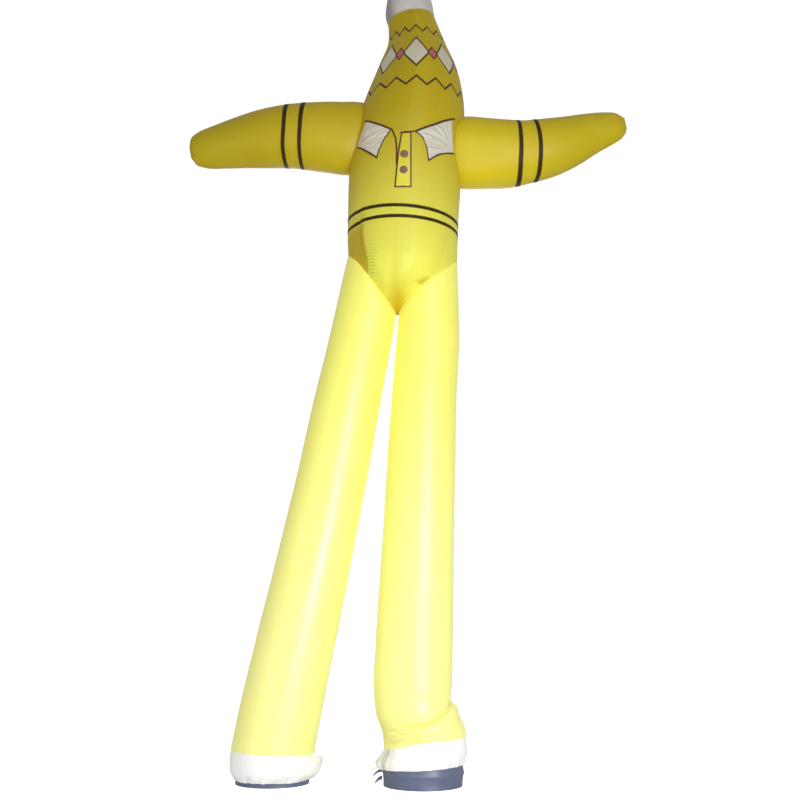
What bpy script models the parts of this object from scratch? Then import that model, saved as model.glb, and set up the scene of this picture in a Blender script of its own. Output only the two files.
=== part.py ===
"""Two-legged inflatable air dancer, 5 m tall, blown up and standing on the open ends of its legs.

+Z is up, the front faces -Y, and "left" and "right" are as seen from the front (-X and +X).
The origin is on the ground, in the middle of the dancer's bounding box. Units are metres.
Every piece of cloth is a thin open shell: the body, the arms and the legs are one air space.
"""

import math
from typing import NamedTuple

import bmesh
import bpy
from mathutils import Vector

# ---------------------------------------------------------------- cloth

CLOTH = 0.002  # wall of every inflated tube
BAND_CLOTH = 0.003  # stiffer cloth of the blower bands
TRIM_CLOTH = 0.001  # sewn-on stripes, collar, placket and buttons
GAP = 0.0003  # between neighbouring pieces
PANEL_SEAM_GAP = 0.0008  # between the body's panels, whose cut edges aren't quite square
LEG_SEAM_GAP = 0.001  # where the legs meet the body at an angle

BODY_COLUMNS = 40  # points round the body
BODY_STEP = 360 / BODY_COLUMNS  # degrees
ARM_COLUMNS = 20
SHARP_EDGE = 40.0  # degrees, past which cut edges aren't shaded smooth
SEAM_ROWS = 2  # extra rows that turn a leg's slanted seam into a level ring
PELVIS_ROWS = 6
PELVIS_FULLNESS = 0.8  # how long the body runs straight down before it turns into a leg


class BodySection(NamedTuple):
    height: float
    centre_x: float
    radius: float
    slope: float  # rise of the ring to the right, per metre


class TubeSection(NamedTuple):
    height: float
    centre_x: float
    centre_y: float
    radius: float
    slope: float  # rise of the ring to the right, per metre
    left: float = 0.0  # how far loose cloth stands out on the left side
    right: float = 0.0


class ArmSection(NamedTuple):
    centre_x: float
    height: float
    radius: float
    depth: float  # front-to-back radius as a share of radius


BORE_REACH = 0.6  # how far from the middle an arm's air space cuts

BODY = (
    BodySection(4.810, 0.018, 0.153, 0.170),
    BodySection(4.745, 0.032, 0.164, 0.120),
    BodySection(4.680, 0.045, 0.178, 0.060),
    BodySection(4.600, 0.055, 0.201, 0.000),
    BodySection(4.500, 0.057, 0.241, 0.000),
    BodySection(4.390, 0.053, 0.278, 0.000),
    BodySection(4.275, 0.042, 0.310, 0.000),
    BodySection(4.150, 0.026, 0.336, 0.000),
    BodySection(4.000, 0.005, 0.352, 0.000),
    BodySection(3.800, -0.018, 0.359, 0.000),
    BodySection(3.600, -0.030, 0.358, -0.020),
    BodySection(3.440, -0.037, 0.352, -0.050),
    BodySection(3.240, -0.040, 0.348, -0.030),
)

CAP = (
    BodySection(4.810, 0.018, 0.153, 0.170),
    BodySection(4.860, 0.007, 0.158, 0.080),
    BodySection(4.930, 0.004, 0.152, 0.030),
    BodySection(4.985, 0.002, 0.134, 0.000),
    BodySection(5.020, 0.000, 0.100, 0.000),
    BodySection(5.038, 0.000, 0.050, 0.000),
)
CAP_TOP = 5.044

LEFT_ARM = (
    ArmSection(-0.200, 3.962, 0.247, 0.85),
    ArmSection(-0.400, 3.974, 0.238, 0.85),
    ArmSection(-0.580, 3.985, 0.223, 0.93),
    ArmSection(-0.740, 3.989, 0.207, 1.00),
    ArmSection(-0.940, 3.971, 0.186, 1.00),
    ArmSection(-1.080, 3.947, 0.164, 1.00),
    ArmSection(-1.210, 3.920, 0.142, 1.00),
    ArmSection(-1.340, 3.892, 0.113, 1.00),
    ArmSection(-1.388, 3.883, 0.088, 1.00),
    ArmSection(-1.407, 3.880, 0.050, 1.00),
)
LEFT_FINGERTIP = Vector((-1.414, 0.0, 3.878))

RIGHT_ARM = (
    ArmSection(0.160, 3.886, 0.240, 0.85),
    ArmSection(0.340, 3.876, 0.234, 0.85),
    ArmSection(0.520, 3.868, 0.225, 0.93),
    ArmSection(0.640, 3.867, 0.216, 1.00),
    ArmSection(0.760, 3.880, 0.201, 1.00),
    ArmSection(0.920, 3.913, 0.187, 1.00),
    ArmSection(1.060, 3.956, 0.165, 1.00),
    ArmSection(1.180, 4.001, 0.139, 1.00),
    ArmSection(1.290, 4.036, 0.113, 1.00),
    ArmSection(1.360, 4.051, 0.094, 1.00),
    ArmSection(1.400, 4.060, 0.056, 1.00),
)
RIGHT_FINGERTIP = Vector((1.414, 0.0, 4.063))

# The slanted seam where each leg joins the body runs from the hip down to the crotch.
LEFT_HIP = Vector((-0.386, 0.0, 3.160))
RIGHT_HIP = Vector((0.303, 0.0, 3.147))
LEFT_CROTCH = Vector((-0.083, 0.0, 2.790))
RIGHT_CROTCH = Vector((-0.065, 0.0, 2.790))
CROTCH_MIDDLE = (LEFT_CROTCH + RIGHT_CROTCH) / 2
CROTCH_HALF_LENGTH = 0.030
CROTCH_LAP = 0.003  # by which the strip under the crotch stops short of the front panels
SEAM_HALF_DEPTH = 0.195
CROTCH_COLUMN = 5.6  # degrees from the middle to the columns that end at the crotch's corners

LEFT_LEG = (
    TubeSection(2.660, -0.297, 0.004, 0.195, 0.0),
    TubeSection(2.250, -0.380, 0.018, 0.206, 0.0),
    TubeSection(1.750, -0.473, 0.036, 0.216, 0.0),
    TubeSection(1.250, -0.576, 0.053, 0.227, 0.0),
    TubeSection(0.800, -0.675, 0.069, 0.237, 0.0),
    TubeSection(0.430, -0.752, 0.080, 0.244, 0.0),
    TubeSection(0.178, -0.797, 0.080, 0.242, -0.045),
)
LEFT_CUFF = (
    TubeSection(0.178, -0.797, 0.080, 0.242, -0.045),
    TubeSection(0.150, -0.796, 0.080, 0.245, -0.020, 0.0, 0.042),
    TubeSection(0.105, -0.795, 0.080, 0.247, 0.0, 0.0, 0.041),
    TubeSection(0.060, -0.795, 0.080, 0.240, 0.0, 0.0, 0.027),
    TubeSection(0.026, -0.794, 0.080, 0.222, 0.0),
)
LEFT_BAND = (
    TubeSection(0.080, -0.794, 0.080, 0.214, 0.0),
    TubeSection(0.040, -0.794, 0.080, 0.215, 0.0),
    TubeSection(0.010, -0.794, 0.080, 0.213, 0.0),
    TubeSection(0.000, -0.794, 0.080, 0.213, 0.0),
)

RIGHT_LEG = (
    TubeSection(2.660, 0.118, 0.0, 0.192, 0.0),
    TubeSection(2.250, 0.091, 0.0, 0.198, 0.0),
    TubeSection(1.750, 0.068, 0.0, 0.209, 0.0),
    TubeSection(1.250, 0.046, 0.0, 0.217, 0.0),
    TubeSection(0.800, 0.028, 0.0, 0.226, 0.0),
    TubeSection(0.530, 0.019, 0.0, 0.227, 0.06),
    TubeSection(0.425, 0.027, 0.0, 0.222, 0.16, 0.0, -0.010),
    TubeSection(0.395, 0.040, 0.0, 0.228, 0.12),
    TubeSection(0.345, 0.063, 0.0, 0.233, 0.10),
    TubeSection(0.290, 0.081, 0.0, 0.237, 0.10),
    TubeSection(0.225, 0.087, 0.0, 0.238, 0.14),
)
RIGHT_CUFF = (
    TubeSection(0.225, 0.087, 0.0, 0.238, 0.14),
    TubeSection(0.190, 0.087, 0.0, 0.240, 0.12, 0.015, 0.0),
    TubeSection(0.150, 0.086, 0.0, 0.240, 0.08, 0.042, 0.0),
    TubeSection(0.108, 0.077, 0.0, 0.235, 0.05, 0.030, 0.0),
)
RIGHT_BAND = (
    TubeSection(0.130, 0.076, 0.0, 0.229, 0.03),
    TubeSection(0.070, 0.076, 0.0, 0.230, 0.0),
    TubeSection(0.010, 0.074, 0.0, 0.226, 0.0),
    TubeSection(0.000, 0.074, 0.0, 0.226, 0.0),
)

# ---------------------------------------------------------------- strap tails


class StrapTail(NamedTuple):
    height: float
    centre_y: float
    reach: float  # to the left
    drop: float
    lean: float  # degrees that the strap's width leans back from upright


# The free ends of the strap that ties the right band to its blower.
STRAP_TAILS = {
    "upper": StrapTail(0.082, -0.020, 0.052, 0.028, 60.0),
    "lower": StrapTail(0.045, -0.035, 0.040, 0.026, 40.0),
}
STRAP_ROOT_X = -0.1575
STRAP_WIDTH = 0.026
STRAP_TIP_SHARE = 0.45
STRAP_STEPS = 5

# ---------------------------------------------------------------- trim

STRIPE_WIDTH = 0.026
STRIPE_REACH = 0.6 * STRIPE_WIDTH  # holds the two edges of a stripe and nothing else
WAIST_STRIPES = {"upper": (3.372, -0.055), "lower": (3.304, -0.040)}  # height, slope
LEFT_ARM_STRIPES = {"inner": -0.693, "outer": -0.797}  # place along X
RIGHT_ARM_STRIPES = {"inner": 0.712, "outer": 0.823}

# Outlines as seen from the front, as (x, height).
LEFT_COLLAR = (
    (-0.266, 3.990),
    (-0.300, 3.835),
    (-0.198, 3.693),
    (-0.180, 3.745),
    (-0.148, 3.810),
    (-0.106, 3.867),
)
RIGHT_COLLAR = (
    (0.033, 3.848),
    (0.078, 3.812),
    (0.102, 3.750),
    (0.114, 3.666),
    (0.180, 3.728),
    (0.270, 3.778),
    (0.268, 4.000),
    (0.150, 3.930),
)
PLACKET = (
    (-0.051, 3.842),
    (-0.072, 3.700),
    (-0.092, 3.485),
    (0.013, 3.485),
    (0.014, 3.846),
)
BUTTON_RADIUS = 0.025
BUTTONS = {"upper": (-0.031, 3.699), "lower": (-0.035, 3.597)}
BUTTON_SIDES = 20
CHEST_BOTTOM = 3.46  # the stretch of chest that the collar and placket lie on
CHEST_TOP = 4.10
HEAD_BOTTOM = 4.45  # above the arms
CHEST_REACH = 75.0  # degrees to each side of the middle
OUTLINE_DEPTH = 0.6

# ---------------------------------------------------------------- colours

YELLOW_LOW = (0.93, 0.86, 0.12, 1.0)
YELLOW_HIGH = (0.72, 0.58, 0.04, 1.0)
YELLOW_PLACKET = (0.80, 0.70, 0.04, 1.0)
WHITE = (0.92, 0.92, 0.93, 1.0)
OFF_WHITE = (0.66, 0.60, 0.54, 1.0)
BROWN = (0.055, 0.035, 0.015, 1.0)
BUTTON_BROWN = (0.20, 0.13, 0.09, 1.0)
SLATE = (0.10, 0.10, 0.14, 1.0)


def clear_scene():
    for obj in list(bpy.data.objects):
        bpy.data.objects.remove(obj, do_unlink=True)


def new_collection(name):
    collection = bpy.data.collections.new(name)
    bpy.context.scene.collection.children.link(collection)
    return collection


def cloth_material(name, colour, roughness=0.5):
    material = bpy.data.materials.new(name)
    material.use_nodes = True
    shader = material.node_tree.nodes["Principled BSDF"]
    shader.inputs["Base Color"].default_value = colour
    shader.inputs["Roughness"].default_value = roughness
    shader.inputs["Metallic"].default_value = 0.0
    return material


def mix(first, second, share):
    """A section part of the way from one section to the next."""
    return type(first)(*(a + (b - a) * share for a, b in zip(first, second)))


def section_at(sections, field, place):
    """The section whose field has the value place, read between its neighbours."""
    for first, second in zip(sections, sections[1:]):
        low, high = getattr(first, field), getattr(second, field)
        if min(low, high) <= place <= max(low, high):
            return mix(first, second, (place - low) / (high - low))
    raise ValueError(f"no section at {field} {place}")


# ---------------------------------------------------------------- meshes


def mesh_object(name, bm, collection, material=None):
    mesh = bpy.data.meshes.new(name)
    bm.to_mesh(mesh)
    bm.free()
    obj = bpy.data.objects.new(name, mesh)
    collection.objects.link(obj)
    if material:
        mesh.materials.append(material)
    return obj


def grid(rows, closed, tip=None, base=None):
    """Faces between rows of points, facing out when each row runs to the right across the front.

    tip and base are points that close the first and the last row.
    """
    bm = bmesh.new()
    verts = [[bm.verts.new(point) for point in row] for row in rows]
    count = len(rows[0])
    spans = count if closed else count - 1
    for above, below in zip(verts, verts[1:]):
        for i in range(spans):
            j = (i + 1) % count
            bm.faces.new((above[i], below[i], below[j], above[j]))
    for point, row, turn in ((tip, verts[0], 1), (base, verts[-1], -1)):
        if point is None:
            continue
        pole = bm.verts.new(point)
        for i in range(spans):
            bm.faces.new((pole, row[i], row[(i + 1) % count])[::turn])
    return bm


def finish_shell(obj, thickness, outward=False):
    """Gives an open surface its thickness, and shades it smooth but for its cut edges."""
    solidify = obj.modifiers.new("cloth", "SOLIDIFY")
    solidify.thickness = thickness
    solidify.offset = 1.0 if outward else -1.0
    solidify.use_even_offset = True
    obj.data.shade_smooth()
    obj.data.set_sharp_from_angle(angle=math.radians(SHARP_EDGE))
    return obj


def boolean(obj, cutter, operation):
    modifier = obj.modifiers.new(f"{operation.lower()} {cutter.name}", "BOOLEAN")
    modifier.operation = operation
    modifier.object = cutter
    modifier.solver = "EXACT"


def as_cutter(obj):
    obj.hide_render = True
    obj.display_type = "WIRE"
    return obj


# ---------------------------------------------------------------- body


def body_sections():
    """The body's rings, with one at each edge of each waist stripe."""
    edges = []
    for height, slope in WAIST_STRIPES.values():
        for edge in (height + STRIPE_WIDTH / 2, height - STRIPE_WIDTH / 2):
            edges.append(section_at(BODY, "height", edge)._replace(slope=slope))
    return sorted([*BODY, *edges], key=lambda section: -section.height)


def ring_point(section, angle, out=0.0, shift=0.0):
    """A point on a body ring, at an angle in degrees from the front towards the right.

    out moves it off the ring, and shift along it.
    """
    turn = math.radians(angle)
    reach = section.radius + out
    x = reach * math.sin(turn) + shift * math.cos(turn)
    y = -reach * math.cos(turn) + shift * math.sin(turn)
    return Vector((section.centre_x + x, y, section.height + section.slope * x))


def leg_shape(side):
    """The hip, the crotch, the top leg section and the leg's direction on one side."""
    hip, crotch = (LEFT_HIP, LEFT_CROTCH) if side < 0 else (RIGHT_HIP, RIGHT_CROTCH)
    sections = LEFT_LEG if side < 0 else RIGHT_LEG
    top, low = sections[0], sections[2]
    run = Vector((low.centre_x - top.centre_x, low.centre_y - top.centre_y, low.height - top.height))
    return hip, crotch, top, run.normalized()


def seam_point(side, turn):
    """A point on a leg's slanted seam: turn is 0 at the crotch, 90 at the front, 180 at the hip."""
    hip, crotch, _, _ = leg_shape(side)
    middle = (hip + crotch) / 2
    along = (crotch - hip) / 2 * math.cos(math.radians(turn))
    return middle + along + Vector((0, -SEAM_HALF_DEPTH * math.sin(math.radians(turn)), 0))


def crotch_corner(side, front):
    crotch = leg_shape(side)[1]
    return crotch + Vector((0, -CROTCH_HALF_LENGTH if front else CROTCH_HALF_LENGTH, 0))


def body_hem(angle):
    """Where the body's column at this angle ends, and the direction it ends in."""
    side = 1 if math.sin(math.radians(angle)) > 0 else -1
    from_front = abs((angle + 180) % 360 - 180)
    front = from_front < 90
    off_middle = min(from_front, 180 - from_front)
    if off_middle < CROTCH_COLUMN / 2:
        return CROTCH_MIDDLE + Vector((0, -CROTCH_HALF_LENGTH if front else CROTCH_HALF_LENGTH, 0))
    if off_middle < BODY_STEP:
        return crotch_corner(side, front)
    return seam_point(side, 2 * from_front)


def hem_direction(angle):
    """Straight down in the middle, and along the leg towards the hips."""
    side = 1 if math.sin(math.radians(angle)) > 0 else -1
    share = abs(math.sin(math.radians(angle)))
    down = Vector((0, 0, -1))
    return down.lerp(leg_shape(side)[3], share).normalized()


def pelvis_point(section, angle, share, out=0.0, shift=0.0):
    """A point on the curve from the last body ring down to the hem."""
    start = ring_point(section, angle, out, shift)
    offset = start - ring_point(section, angle)
    end = body_hem(angle) + offset
    length = (end - start).length * PELVIS_FULLNESS
    ends = (start, end, Vector((0, 0, -1)) * length, hem_direction(angle) * length)
    square, cube = share**2, share**3
    weights = (2 * cube - 3 * square + 1, 3 * square - 2 * cube, cube - 2 * square + share, cube - square)
    return sum((end * weight for end, weight in zip(ends, weights)), Vector())


def column_angles(start, stop):
    """The body's column angles between two seams, with the columns that end at the crotch."""
    count = round((stop - start) / BODY_STEP)
    angles = [start + i * BODY_STEP for i in range(count + 1)]
    for middle in (-180, 0, 180):
        for angle in (middle - CROTCH_COLUMN, middle + CROTCH_COLUMN):
            if start < angle < stop:
                angles.append(angle)
    return sorted(angles)


def body_column_rows(angles, ends=(0, 0)):
    """Rows of points down the body; ends shifts the first and last column off their seams."""
    shifts = [ends[0], *[0.0] * (len(angles) - 2), ends[1]]
    rows = []
    for section in body_sections():
        rows.append([ring_point(section, a, 0, s) for a, s in zip(angles, shifts)])
    last = body_sections()[-1]
    for i in range(1, PELVIS_ROWS + 1):
        share = i / PELVIS_ROWS
        rows.append([pelvis_point(last, a, share, 0, s) for a, s in zip(angles, shifts)])
    return rows


def add_crotch(bm, angles, rows):
    """A narrow strip under the crotch, from the back panel's tip to the front panels."""
    bm.verts.ensure_lookup_table()
    first = (len(rows) - 1) * len(angles)
    tips = [i for i, angle in enumerate(angles) if abs(angle - 180) < BODY_STEP]
    back = [bm.verts[first + i] for i in tips]
    reach = Vector((0, -2 * CROTCH_HALF_LENGTH + CROTCH_LAP, 0))
    front = [bm.verts.new(vert.co + reach) for vert in back]
    for i in range(len(tips) - 1):
        bm.faces.new((back[i], front[i], front[i + 1], back[i + 1]))


def build_body(collection, cutters):
    panels = {
        "body_front_left": (-90, 0, cloth_material("front left cloth", YELLOW_HIGH)),
        "body_front_right": (0, 90, cloth_material("front right cloth", YELLOW_HIGH)),
        "body_back": (90, 270, cloth_material("back cloth", YELLOW_HIGH)),
    }
    for name, (start, stop, material) in panels.items():
        angles = column_angles(start, stop)
        rows = body_column_rows(angles, (PANEL_SEAM_GAP / 2, -PANEL_SEAM_GAP / 2))
        bm = grid(rows, closed=False)
        if name == "body_back":
            add_crotch(bm, angles, rows)
        obj = finish_shell(mesh_object(name, bm, collection, material), CLOTH)
        for cutter in cutters:
            boolean(obj, cutter, "DIFFERENCE")


def body_volume(collection):
    """The space that the chest fills, which the arms stop at."""
    angles = column_angles(-180, 180)[:-1]
    sections = [s for s in body_sections() if CHEST_BOTTOM < s.height < HEAD_BOTTOM]
    rows = [[ring_point(s, a, GAP) for a in angles] for s in sections]
    top, bottom = sections[0], sections[-1]
    tip = Vector((top.centre_x, 0, top.height))
    base = Vector((bottom.centre_x, 0, bottom.height))
    return as_cutter(mesh_object("chest_space", grid(rows, True, tip, base), collection))


# ---------------------------------------------------------------- arms


def arm_sections(sections, stripes):
    """The arm's rings, with one at each edge of each stripe, from the shoulder outwards."""
    edges = []
    for place in stripes.values():
        for edge in (place - STRIPE_WIDTH / 2, place + STRIPE_WIDTH / 2):
            edges.append(section_at(sections, "centre_x", edge))
    return sorted([*sections, *edges], key=lambda section: abs(section.centre_x))


def arm_ring(sections, i, out=0.0):
    """A ring of points square to the arm's run."""
    before, after = sections[max(i - 1, 0)], sections[min(i + 1, len(sections) - 1)]
    run = Vector((after.centre_x - before.centre_x, 0, after.height - before.height)).normalized()
    across = Vector((-run.z, 0, run.x)) * math.copysign(1, run.x)
    section = sections[i]
    middle = Vector((section.centre_x, 0, section.height))
    ring = []
    for step in range(ARM_COLUMNS):
        turn = 2 * math.pi * step / ARM_COLUMNS
        up = across * (section.radius + out) * math.cos(turn)
        depth = (section.radius + out) * section.depth * math.sin(turn)
        ring.append(middle + up + Vector((0, depth, 0)) * math.copysign(1, run.x))
    return ring


def build_arm(side, sections, stripes, fingertip, collection, chest):
    whole = arm_sections(sections, stripes)
    rings = [arm_ring(whole, i) for i in range(len(whole))]
    arm_cloth = cloth_material(f"{side} sleeve cloth", YELLOW_HIGH)
    arm = mesh_object(f"arm_{side}", grid(rings, True, base=fingertip), collection, arm_cloth)
    boolean(finish_shell(arm, CLOTH), chest, "DIFFERENCE")

    for name, place in stripes.items():
        edges = [i for i, s in enumerate(whole) if abs(s.centre_x - place) < STRIPE_REACH]
        band = [arm_ring(whole, i, GAP) for i in edges]
        material = cloth_material(f"{side} {name} stripe cloth", BROWN)
        stripe = mesh_object(f"arm_{side}_stripe_{name}", grid(band, True), collection, material)
        finish_shell(stripe, TRIM_CLOTH, outward=True)


def arm_bore(side, sections, collection):
    """The air space of an arm, which opens the body's side."""
    near = [s for s in sections if abs(s.centre_x) < BORE_REACH]
    rings = [arm_ring(near, i, -CLOTH) for i in range(len(near))]
    ends = [Vector((near[i].centre_x, 0, near[i].height)) for i in (0, -1)]
    return as_cutter(mesh_object(f"bore_{side}", grid(rings, True, *ends), collection))


# ---------------------------------------------------------------- legs


def leg_turns():
    """Angles round a leg from the crotch's front corner over the front and the hip to its back."""
    corner = math.degrees(math.asin(CROTCH_HALF_LENGTH / SEAM_HALF_DEPTH))
    return [corner, *[2 * BODY_STEP * i for i in range(1, BODY_COLUMNS // 2)], 360 - corner]


def tube_ring(section, side):
    """A ring of points round a leg, in the order of leg_turns, running to the right in front."""
    ring = []
    for turn in leg_turns():
        across = -side * math.cos(math.radians(turn))
        stand_out = section.right if across > 0 else -section.left
        x = section.radius * across + stand_out * across**2
        y = -section.radius * math.sin(math.radians(turn))
        height = section.height + section.slope * x
        ring.append(Vector((section.centre_x + x, section.centre_y + y, height)))
    return ring if side > 0 else ring[::-1]


def seam_ring(side):
    """The top of a leg, just under the body's slanted hem."""
    seam = [seam_point(side, turn) for turn in leg_turns()[1:-1]]
    ring = [crotch_corner(side, True), *seam, crotch_corner(side, False)]
    ring = [point + leg_shape(side)[3] * LEG_SEAM_GAP for point in ring]
    return ring if side > 0 else ring[::-1]


def tube(name, sections, side, collection, material, thickness=CLOTH, first_rings=()):
    rings = [*first_rings, *[tube_ring(s, side) for s in sections]]
    return finish_shell(mesh_object(name, grid(rings, True), collection, material), thickness)


def lowered(sections):
    """The same sections, with the first one a gap lower."""
    return [sections[0]._replace(height=sections[0].height - GAP), *sections[1:]]


def build_leg(name, side, leg, cuff, band, collection):
    seam, top = seam_ring(side), tube_ring(leg[0], side)
    turning = [seam]
    for i in range(1, SEAM_ROWS + 1):
        share = i / (SEAM_ROWS + 1)
        turning.append([a.lerp(b, share) for a, b in zip(seam, top)])
    leg_cloth = cloth_material(f"{name} leg cloth", YELLOW_LOW)
    tube(f"leg_{name}", leg, side, collection, leg_cloth, first_rings=turning)
    cuff_cloth = cloth_material(f"{name} cuff cloth", WHITE)
    tube(f"cuff_{name}", lowered(cuff), side, collection, cuff_cloth)
    band_cloth = cloth_material(f"{name} band cloth", SLATE, roughness=0.4)
    tube(f"band_{name}", band, side, collection, band_cloth, BAND_CLOTH)


def build_strap_tails(collection):
    for name, tail in STRAP_TAILS.items():
        lean = math.radians(tail.lean)
        width = Vector((0, math.sin(lean), math.cos(lean))) * STRAP_WIDTH / 2
        rows = []
        for i in range(STRAP_STEPS + 1):
            share = i / STRAP_STEPS
            drop = tail.drop * share**2
            middle = Vector((STRAP_ROOT_X - tail.reach * share, tail.centre_y, tail.height - drop))
            half = width * (1 - (1 - STRAP_TIP_SHARE) * share**2)
            rows.append([middle - half, middle + half])
        strap_cloth = cloth_material(f"{name} strap cloth", SLATE)
        strap = mesh_object(f"strap_tail_{name}", grid(rows, closed=False), collection, strap_cloth)
        finish_shell(strap, CLOTH)


# ---------------------------------------------------------------- head and trim


def build_cap(collection):
    angles = column_angles(-180, 180)[:-1]
    lowest = CAP[0]._replace(height=CAP[0].height + GAP)
    rows = [[ring_point(s, a) for a in angles] for s in reversed([lowest, *CAP[1:]])]
    cap = mesh_object(
        "head_cap",
        grid(rows, True, tip=Vector((CAP[-1].centre_x, 0, CAP_TOP))),
        collection,
        cloth_material("cap cloth", OFF_WHITE),
    )
    finish_shell(cap, CLOTH)


def build_waist_stripes(collection):
    angles = column_angles(-180, 180)[:-1]
    for name, (height, _) in WAIST_STRIPES.items():
        edges = [s for s in body_sections() if abs(s.height - height) < STRIPE_REACH]
        rows = [[ring_point(s, a, GAP) for a in angles] for s in edges]
        material = cloth_material(f"{name} waist stripe cloth", BROWN)
        stripe = mesh_object(f"waist_stripe_{name}", grid(rows, True), collection, material)
        finish_shell(stripe, TRIM_CLOTH, outward=True)


def outline_prism(name, outline, collection):
    """An outline seen from the front, as a block that reaches from the front to the middle."""
    curve = bpy.data.curves.new(name, "CURVE")
    curve.dimensions = "2D"
    curve.fill_mode = "BOTH"
    curve.extrude = OUTLINE_DEPTH / 2
    spline = curve.splines.new("POLY")
    spline.points.add(len(outline) - 1)
    for point, (x, height) in zip(spline.points, outline):
        point.co = (x, height, 0, 1)
    spline.use_cyclic_u = True
    guide = bpy.data.objects.new(name, curve)
    guide.rotation_euler = (math.pi / 2, 0, 0)
    guide.location = (0, -OUTLINE_DEPTH / 2, 0)
    collection.objects.link(guide)
    bpy.context.view_layer.update()

    mesh = bpy.data.meshes.new_from_object(guide.evaluated_get(bpy.context.evaluated_depsgraph_get()))
    bm = bmesh.new()
    bm.from_mesh(mesh)
    bmesh.ops.remove_doubles(bm, verts=bm.verts, dist=0.0001)
    bmesh.ops.recalc_face_normals(bm, faces=bm.faces)
    bm.to_mesh(mesh)
    bm.free()
    prism = bpy.data.objects.new(f"{name}_outline", mesh)
    prism.matrix_world = guide.matrix_world.copy()
    collection.objects.link(prism)
    bpy.data.objects.remove(guide, do_unlink=True)
    return as_cutter(prism)


def chest_piece(name, outline, out, collection, cutters, material):
    """Cloth that lies on the chest inside an outline, out metres off the body."""
    angles = [a for a in column_angles(-90, 90) if abs(a) < CHEST_REACH]
    sections = [section_at(body_sections(), "height", h) for h in (CHEST_TOP, CHEST_BOTTOM)]
    sections[1:1] = [s for s in body_sections() if CHEST_BOTTOM < s.height < CHEST_TOP]
    rows = [[ring_point(s, a, out) for a in angles] for s in sections]
    piece = mesh_object(name, grid(rows, closed=False), collection, material)
    finish_shell(piece, TRIM_CLOTH, outward=True)
    boolean(piece, outline_prism(name, outline, cutters), "INTERSECT")


def circle(x, height, radius):
    turns = [2 * math.pi * i / BUTTON_SIDES for i in range(BUTTON_SIDES)]
    return [(x + radius * math.cos(turn), height + radius * math.sin(turn)) for turn in turns]


def build_chest(collection, cutters):
    collars = {"collar_left": LEFT_COLLAR, "collar_right": RIGHT_COLLAR}
    for name, outline in collars.items():
        collar_cloth = cloth_material(f"{name} cloth", OFF_WHITE)
        chest_piece(name, outline, GAP, collection, cutters, collar_cloth)
    placket_cloth = cloth_material("placket cloth", YELLOW_PLACKET)
    chest_piece("placket", PLACKET, GAP, collection, cutters, placket_cloth)
    for name, (x, height) in BUTTONS.items():
        outline = circle(x, height, BUTTON_RADIUS)
        button_cloth = cloth_material(f"{name} button cloth", BUTTON_BROWN)
        over_placket = 2 * GAP + TRIM_CLOTH
        chest_piece(f"button_{name}", outline, over_placket, collection, cutters, button_cloth)


def main():
    clear_scene()
    dancer = new_collection("air dancer")
    cutters = new_collection("cutters")
    bores = [arm_bore("left", LEFT_ARM, cutters), arm_bore("right", RIGHT_ARM, cutters)]
    build_body(dancer, bores)
    chest = body_volume(cutters)
    build_arm("left", LEFT_ARM, LEFT_ARM_STRIPES, LEFT_FINGERTIP, dancer, chest)
    build_arm("right", RIGHT_ARM, RIGHT_ARM_STRIPES, RIGHT_FINGERTIP, dancer, chest)
    build_leg("left", -1, LEFT_LEG, LEFT_CUFF, LEFT_BAND, dancer)
    build_leg("right", 1, RIGHT_LEG, RIGHT_CUFF, RIGHT_BAND, dancer)
    build_strap_tails(dancer)
    build_cap(dancer)
    build_waist_stripes(dancer)
    build_chest(dancer, cutters)


main()
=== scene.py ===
"""Dresses a two-legged inflatable air dancer in fine cloth, and lights it in a plain studio.

+Z is up and the front faces -Y. Left and right are as seen from the front. Units are metres.
"""

import logging
import math
from dataclasses import dataclass, field, replace
from enum import Enum
from typing import NamedTuple, Sequence

import bpy
import numpy as np
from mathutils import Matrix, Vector


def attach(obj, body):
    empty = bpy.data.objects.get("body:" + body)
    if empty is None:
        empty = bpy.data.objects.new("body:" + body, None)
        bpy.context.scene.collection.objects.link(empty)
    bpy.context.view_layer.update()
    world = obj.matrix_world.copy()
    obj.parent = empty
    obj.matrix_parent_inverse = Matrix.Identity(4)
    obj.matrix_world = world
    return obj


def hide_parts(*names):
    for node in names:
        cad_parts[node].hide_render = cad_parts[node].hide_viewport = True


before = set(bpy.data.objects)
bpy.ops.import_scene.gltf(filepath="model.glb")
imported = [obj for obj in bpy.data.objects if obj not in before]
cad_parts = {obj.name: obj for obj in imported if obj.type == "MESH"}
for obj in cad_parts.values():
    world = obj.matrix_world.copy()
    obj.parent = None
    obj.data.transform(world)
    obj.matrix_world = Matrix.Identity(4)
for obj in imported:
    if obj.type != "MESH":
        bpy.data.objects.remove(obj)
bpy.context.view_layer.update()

log = logging.getLogger("air dancer")
Array = np.ndarray
Pair = tuple[float, float]
Point = tuple[float, float, float]
Colour = tuple[float, float, float, float]
Tree, Socket, Sockets = bpy.types.NodeTree, bpy.types.NodeSocket, bpy.types.NodeOutputs

# ---------------- sizes shared by the pieces

CLOTH = 0.002  # wall of every inflated tube
BAND_CLOTH = 0.003
TRIM_CLOTH = 0.001
TRIM_GAP = 0.0006  # from the cloth below to a piece of trim
FULL_TURN = 360.0
STRIPE_WIDTH = 0.026
WAIST_STRIPE_WIDTH = 0.021
STITCH_PITCH = 0.012
WEAVE_PITCH = 0.006  # between the thicker threads of the ripstop weave
STRIPE_ROWS = 6
ON_TOP = TRIM_GAP + TRIM_CLOTH  # from the cloth below to the outside of a piece of trim
SHARP_ANGLE = 50.0  # past which an edge of a mesh shows as sharp


class Side(Enum):
    """The two sides of the dancer, as seen from the front."""

    LEFT = -1
    RIGHT = 1


class BodySection(NamedTuple):
    """A level ring of the body."""

    height: float
    centre_x: float
    radius: float
    slope: float


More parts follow.
